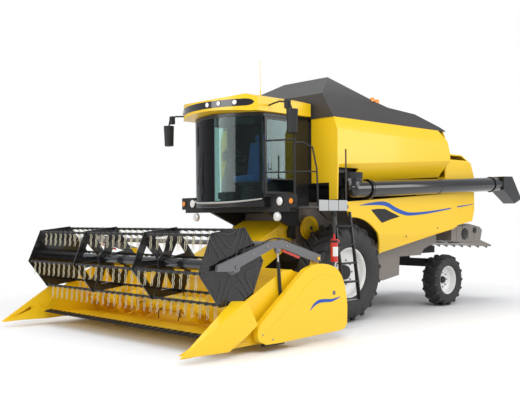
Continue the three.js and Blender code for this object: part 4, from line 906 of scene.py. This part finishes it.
make("pedals", Shape().box((1560, 1580), (-190, -120), (Z0 + 40, Z0 + 150)).box((1560, 1580), (120, 190),
    (Z0 + 40, Z0 + 150)), "chassis", black, bevel=5)
make("door_handle", Shape().tube([(1380, 886, 2560), (1380, 915, 2560), (1380, 915, 2720), (1380, 886,
    2720)], 9, 8), "door", satin_black)

# unloading auger with its rings
from_cad("unloading_auger", "unloader", gloss_black, 4)
a0, a1 = Vector((-150, 1500, 2255)), Vector((-4480, 1612, 2455))
d = (a1 - a0).normalized()
rings = Shape()
for f, r, w in ((0.035, 172, 16), (0.045, 172, 16), (0.5, 146, 10), (0.93, 160, 14)):
    p = a0 + (a1 - a0) * f
    rings.rod(tuple(p - d * w), tuple(p + d * w), r, 40)
make("auger_rings", rings, "unloader", gloss_black, bevel=3)

# extinguisher
from_cad("fire_extinguisher", "ladder", red, 4)
make("extinguisher_strap", Shape().lathe([(61, -16), (63, -16), (63, 16), (61, 16)], (805, 1740, 1405), "z",
    32, closed=True), "ladder", black)
label = Shape()
pts = [(60.8 * math.cos(t), 60.8 * math.sin(t)) for t in (math.radians(20 + 8 * k) for k in range(14))]
label.prism([(805 + x, 1740 + y) for x, y in pts] + [(805 + x * 1.015, 1740 + y * 1.015) for x,
    y in reversed(pts)], "xy", 1170, 1320)
make("extinguisher_label", label, "ladder", white)
for side in ("left", "right"):
    from_cad(f"{side}_mirror", "chassis", satin_black, 6, 3)

# ------------------------------------------------------------------ studio
def floor_mat():
    """Pale grey near the machine, for its shadow, and plain white further out."""
    m = bpy.data.materials.new("floor_white")
    m.use_nodes = True
    t = m.node_tree
    b = t.nodes["Principled BSDF"]
    b.inputs["Base Color"].default_value = (0.9, 0.9, 0.9, 1)
    b.inputs["Roughness"].default_value = 0.8
    b.inputs["Specular IOR Level"].default_value = 0.0
    far = t.nodes.new("ShaderNodeEmission")
    mix = t.nodes.new("ShaderNodeMixShader")
    coord = t.nodes.new("ShaderNodeTexCoord")
    size = t.nodes.new("ShaderNodeVectorMath")
    size.operation = "LENGTH"
    ramp = t.nodes.new("ShaderNodeMapRange")
    ramp.interpolation_type = "SMOOTHSTEP"
    ramp.inputs["From Min"].default_value = 4.2
    ramp.inputs["From Max"].default_value = 8.5
    t.links.new(coord.outputs["Object"], size.inputs[0])
    t.links.new(size.outputs["Value"], ramp.inputs["Value"])
    t.links.new(ramp.outputs[0], mix.inputs[0])
    t.links.new(b.outputs[0], mix.inputs[1])
    t.links.new(far.outputs[0], mix.inputs[2])
    t.links.new(mix.outputs[0], t.nodes["Material Output"].inputs[0])
    return m


fm = bpy.data.meshes.new("floor")
s = 60
fm.from_pydata([(-s, -s, 0), (s, -s, 0), (s, s, 0), (-s, s, 0)], [], [(0, 1, 2, 3)])
floor = bpy.data.objects.new("floor", fm)
fm.materials.append(floor_mat())
scene.collection.objects.link(floor)

world = bpy.data.worlds.new("studio")
scene.world = world
world.use_nodes = True
wt = world.node_tree
bg = wt.nodes["Background"]
bg.inputs[0].default_value = (0.93, 0.95, 1, 1)
bg.inputs[1].default_value = 0.55
seen = wt.nodes.new("ShaderNodeBackground")
seen.inputs[0].default_value = (1, 1, 1, 1)
seen.inputs[1].default_value = 1.0
lp = wt.nodes.new("ShaderNodeLightPath")
mx = wt.nodes.new("ShaderNodeMixShader")
wt.links.new(lp.outputs["Is Camera Ray"], mx.inputs[0])
wt.links.new(bg.outputs[0], mx.inputs[1])
wt.links.new(seen.outputs[0], mx.inputs[2])
wt.links.new(mx.outputs[0], wt.nodes["World Output"].inputs[0])


def area(name, loc, target, size, power, color=(1, 1, 1)):
    d = bpy.data.lights.new(name, "AREA")
    d.shape = "RECTANGLE"
    d.size, d.size_y = size
    d.energy = power
    d.color = color
    o = bpy.data.objects.new(name, d)
    scene.collection.objects.link(o)
    o.location = loc
    o.rotation_euler = (Vector(target) - Vector(loc)).to_track_quat("-Z", "Y").to_euler()
    return o


area("key", (7.5, 9.5, 9.0), (0.5, 0, 1.4), (7, 6), 760)
area("top", (0.0, 0.0, 12.0), (0, 0, 0), (11, 8), 620)
area("side", (-6.5, 10.0, 5.0), (-1.5, 0, 1.8), (8, 4), 330)
area("front", (12.0, -3.0, 4.5), (2, 0, 1.2), (6, 4), 330)

cam_data = bpy.data.cameras.new("camera")
cam = bpy.data.objects.new("camera", cam_data)
scene.collection.objects.link(cam)
scene.camera = cam
cam_data.sensor_width = 36
cam_data.lens = 749.856 / 520 * 36
cam_data.shift_x = (260 - 290.0) / 520
cam_data.shift_y = (242.03 - 209) / 520
yaw, pitch, roll = 3.927297, -0.031989, -0.0065355
fwd = Vector((math.cos(yaw) * math.cos(pitch), math.sin(yaw) * math.cos(pitch), math.sin(pitch)))
right = Vector((math.sin(yaw), -math.cos(yaw), 0))
up = right.cross(fwd)
r2 = right * math.cos(roll) + up * math.sin(roll)
u2 = up * math.cos(roll) - right * math.sin(roll)
m = Matrix((r2, u2, -fwd)).transposed().to_4x4()
m.translation = Vector((9.68267 + DX, 9.63302, 1.77761))
cam.matrix_world = m

scene.render.engine = "CYCLES"
scene.view_settings.view_transform = "Standard"
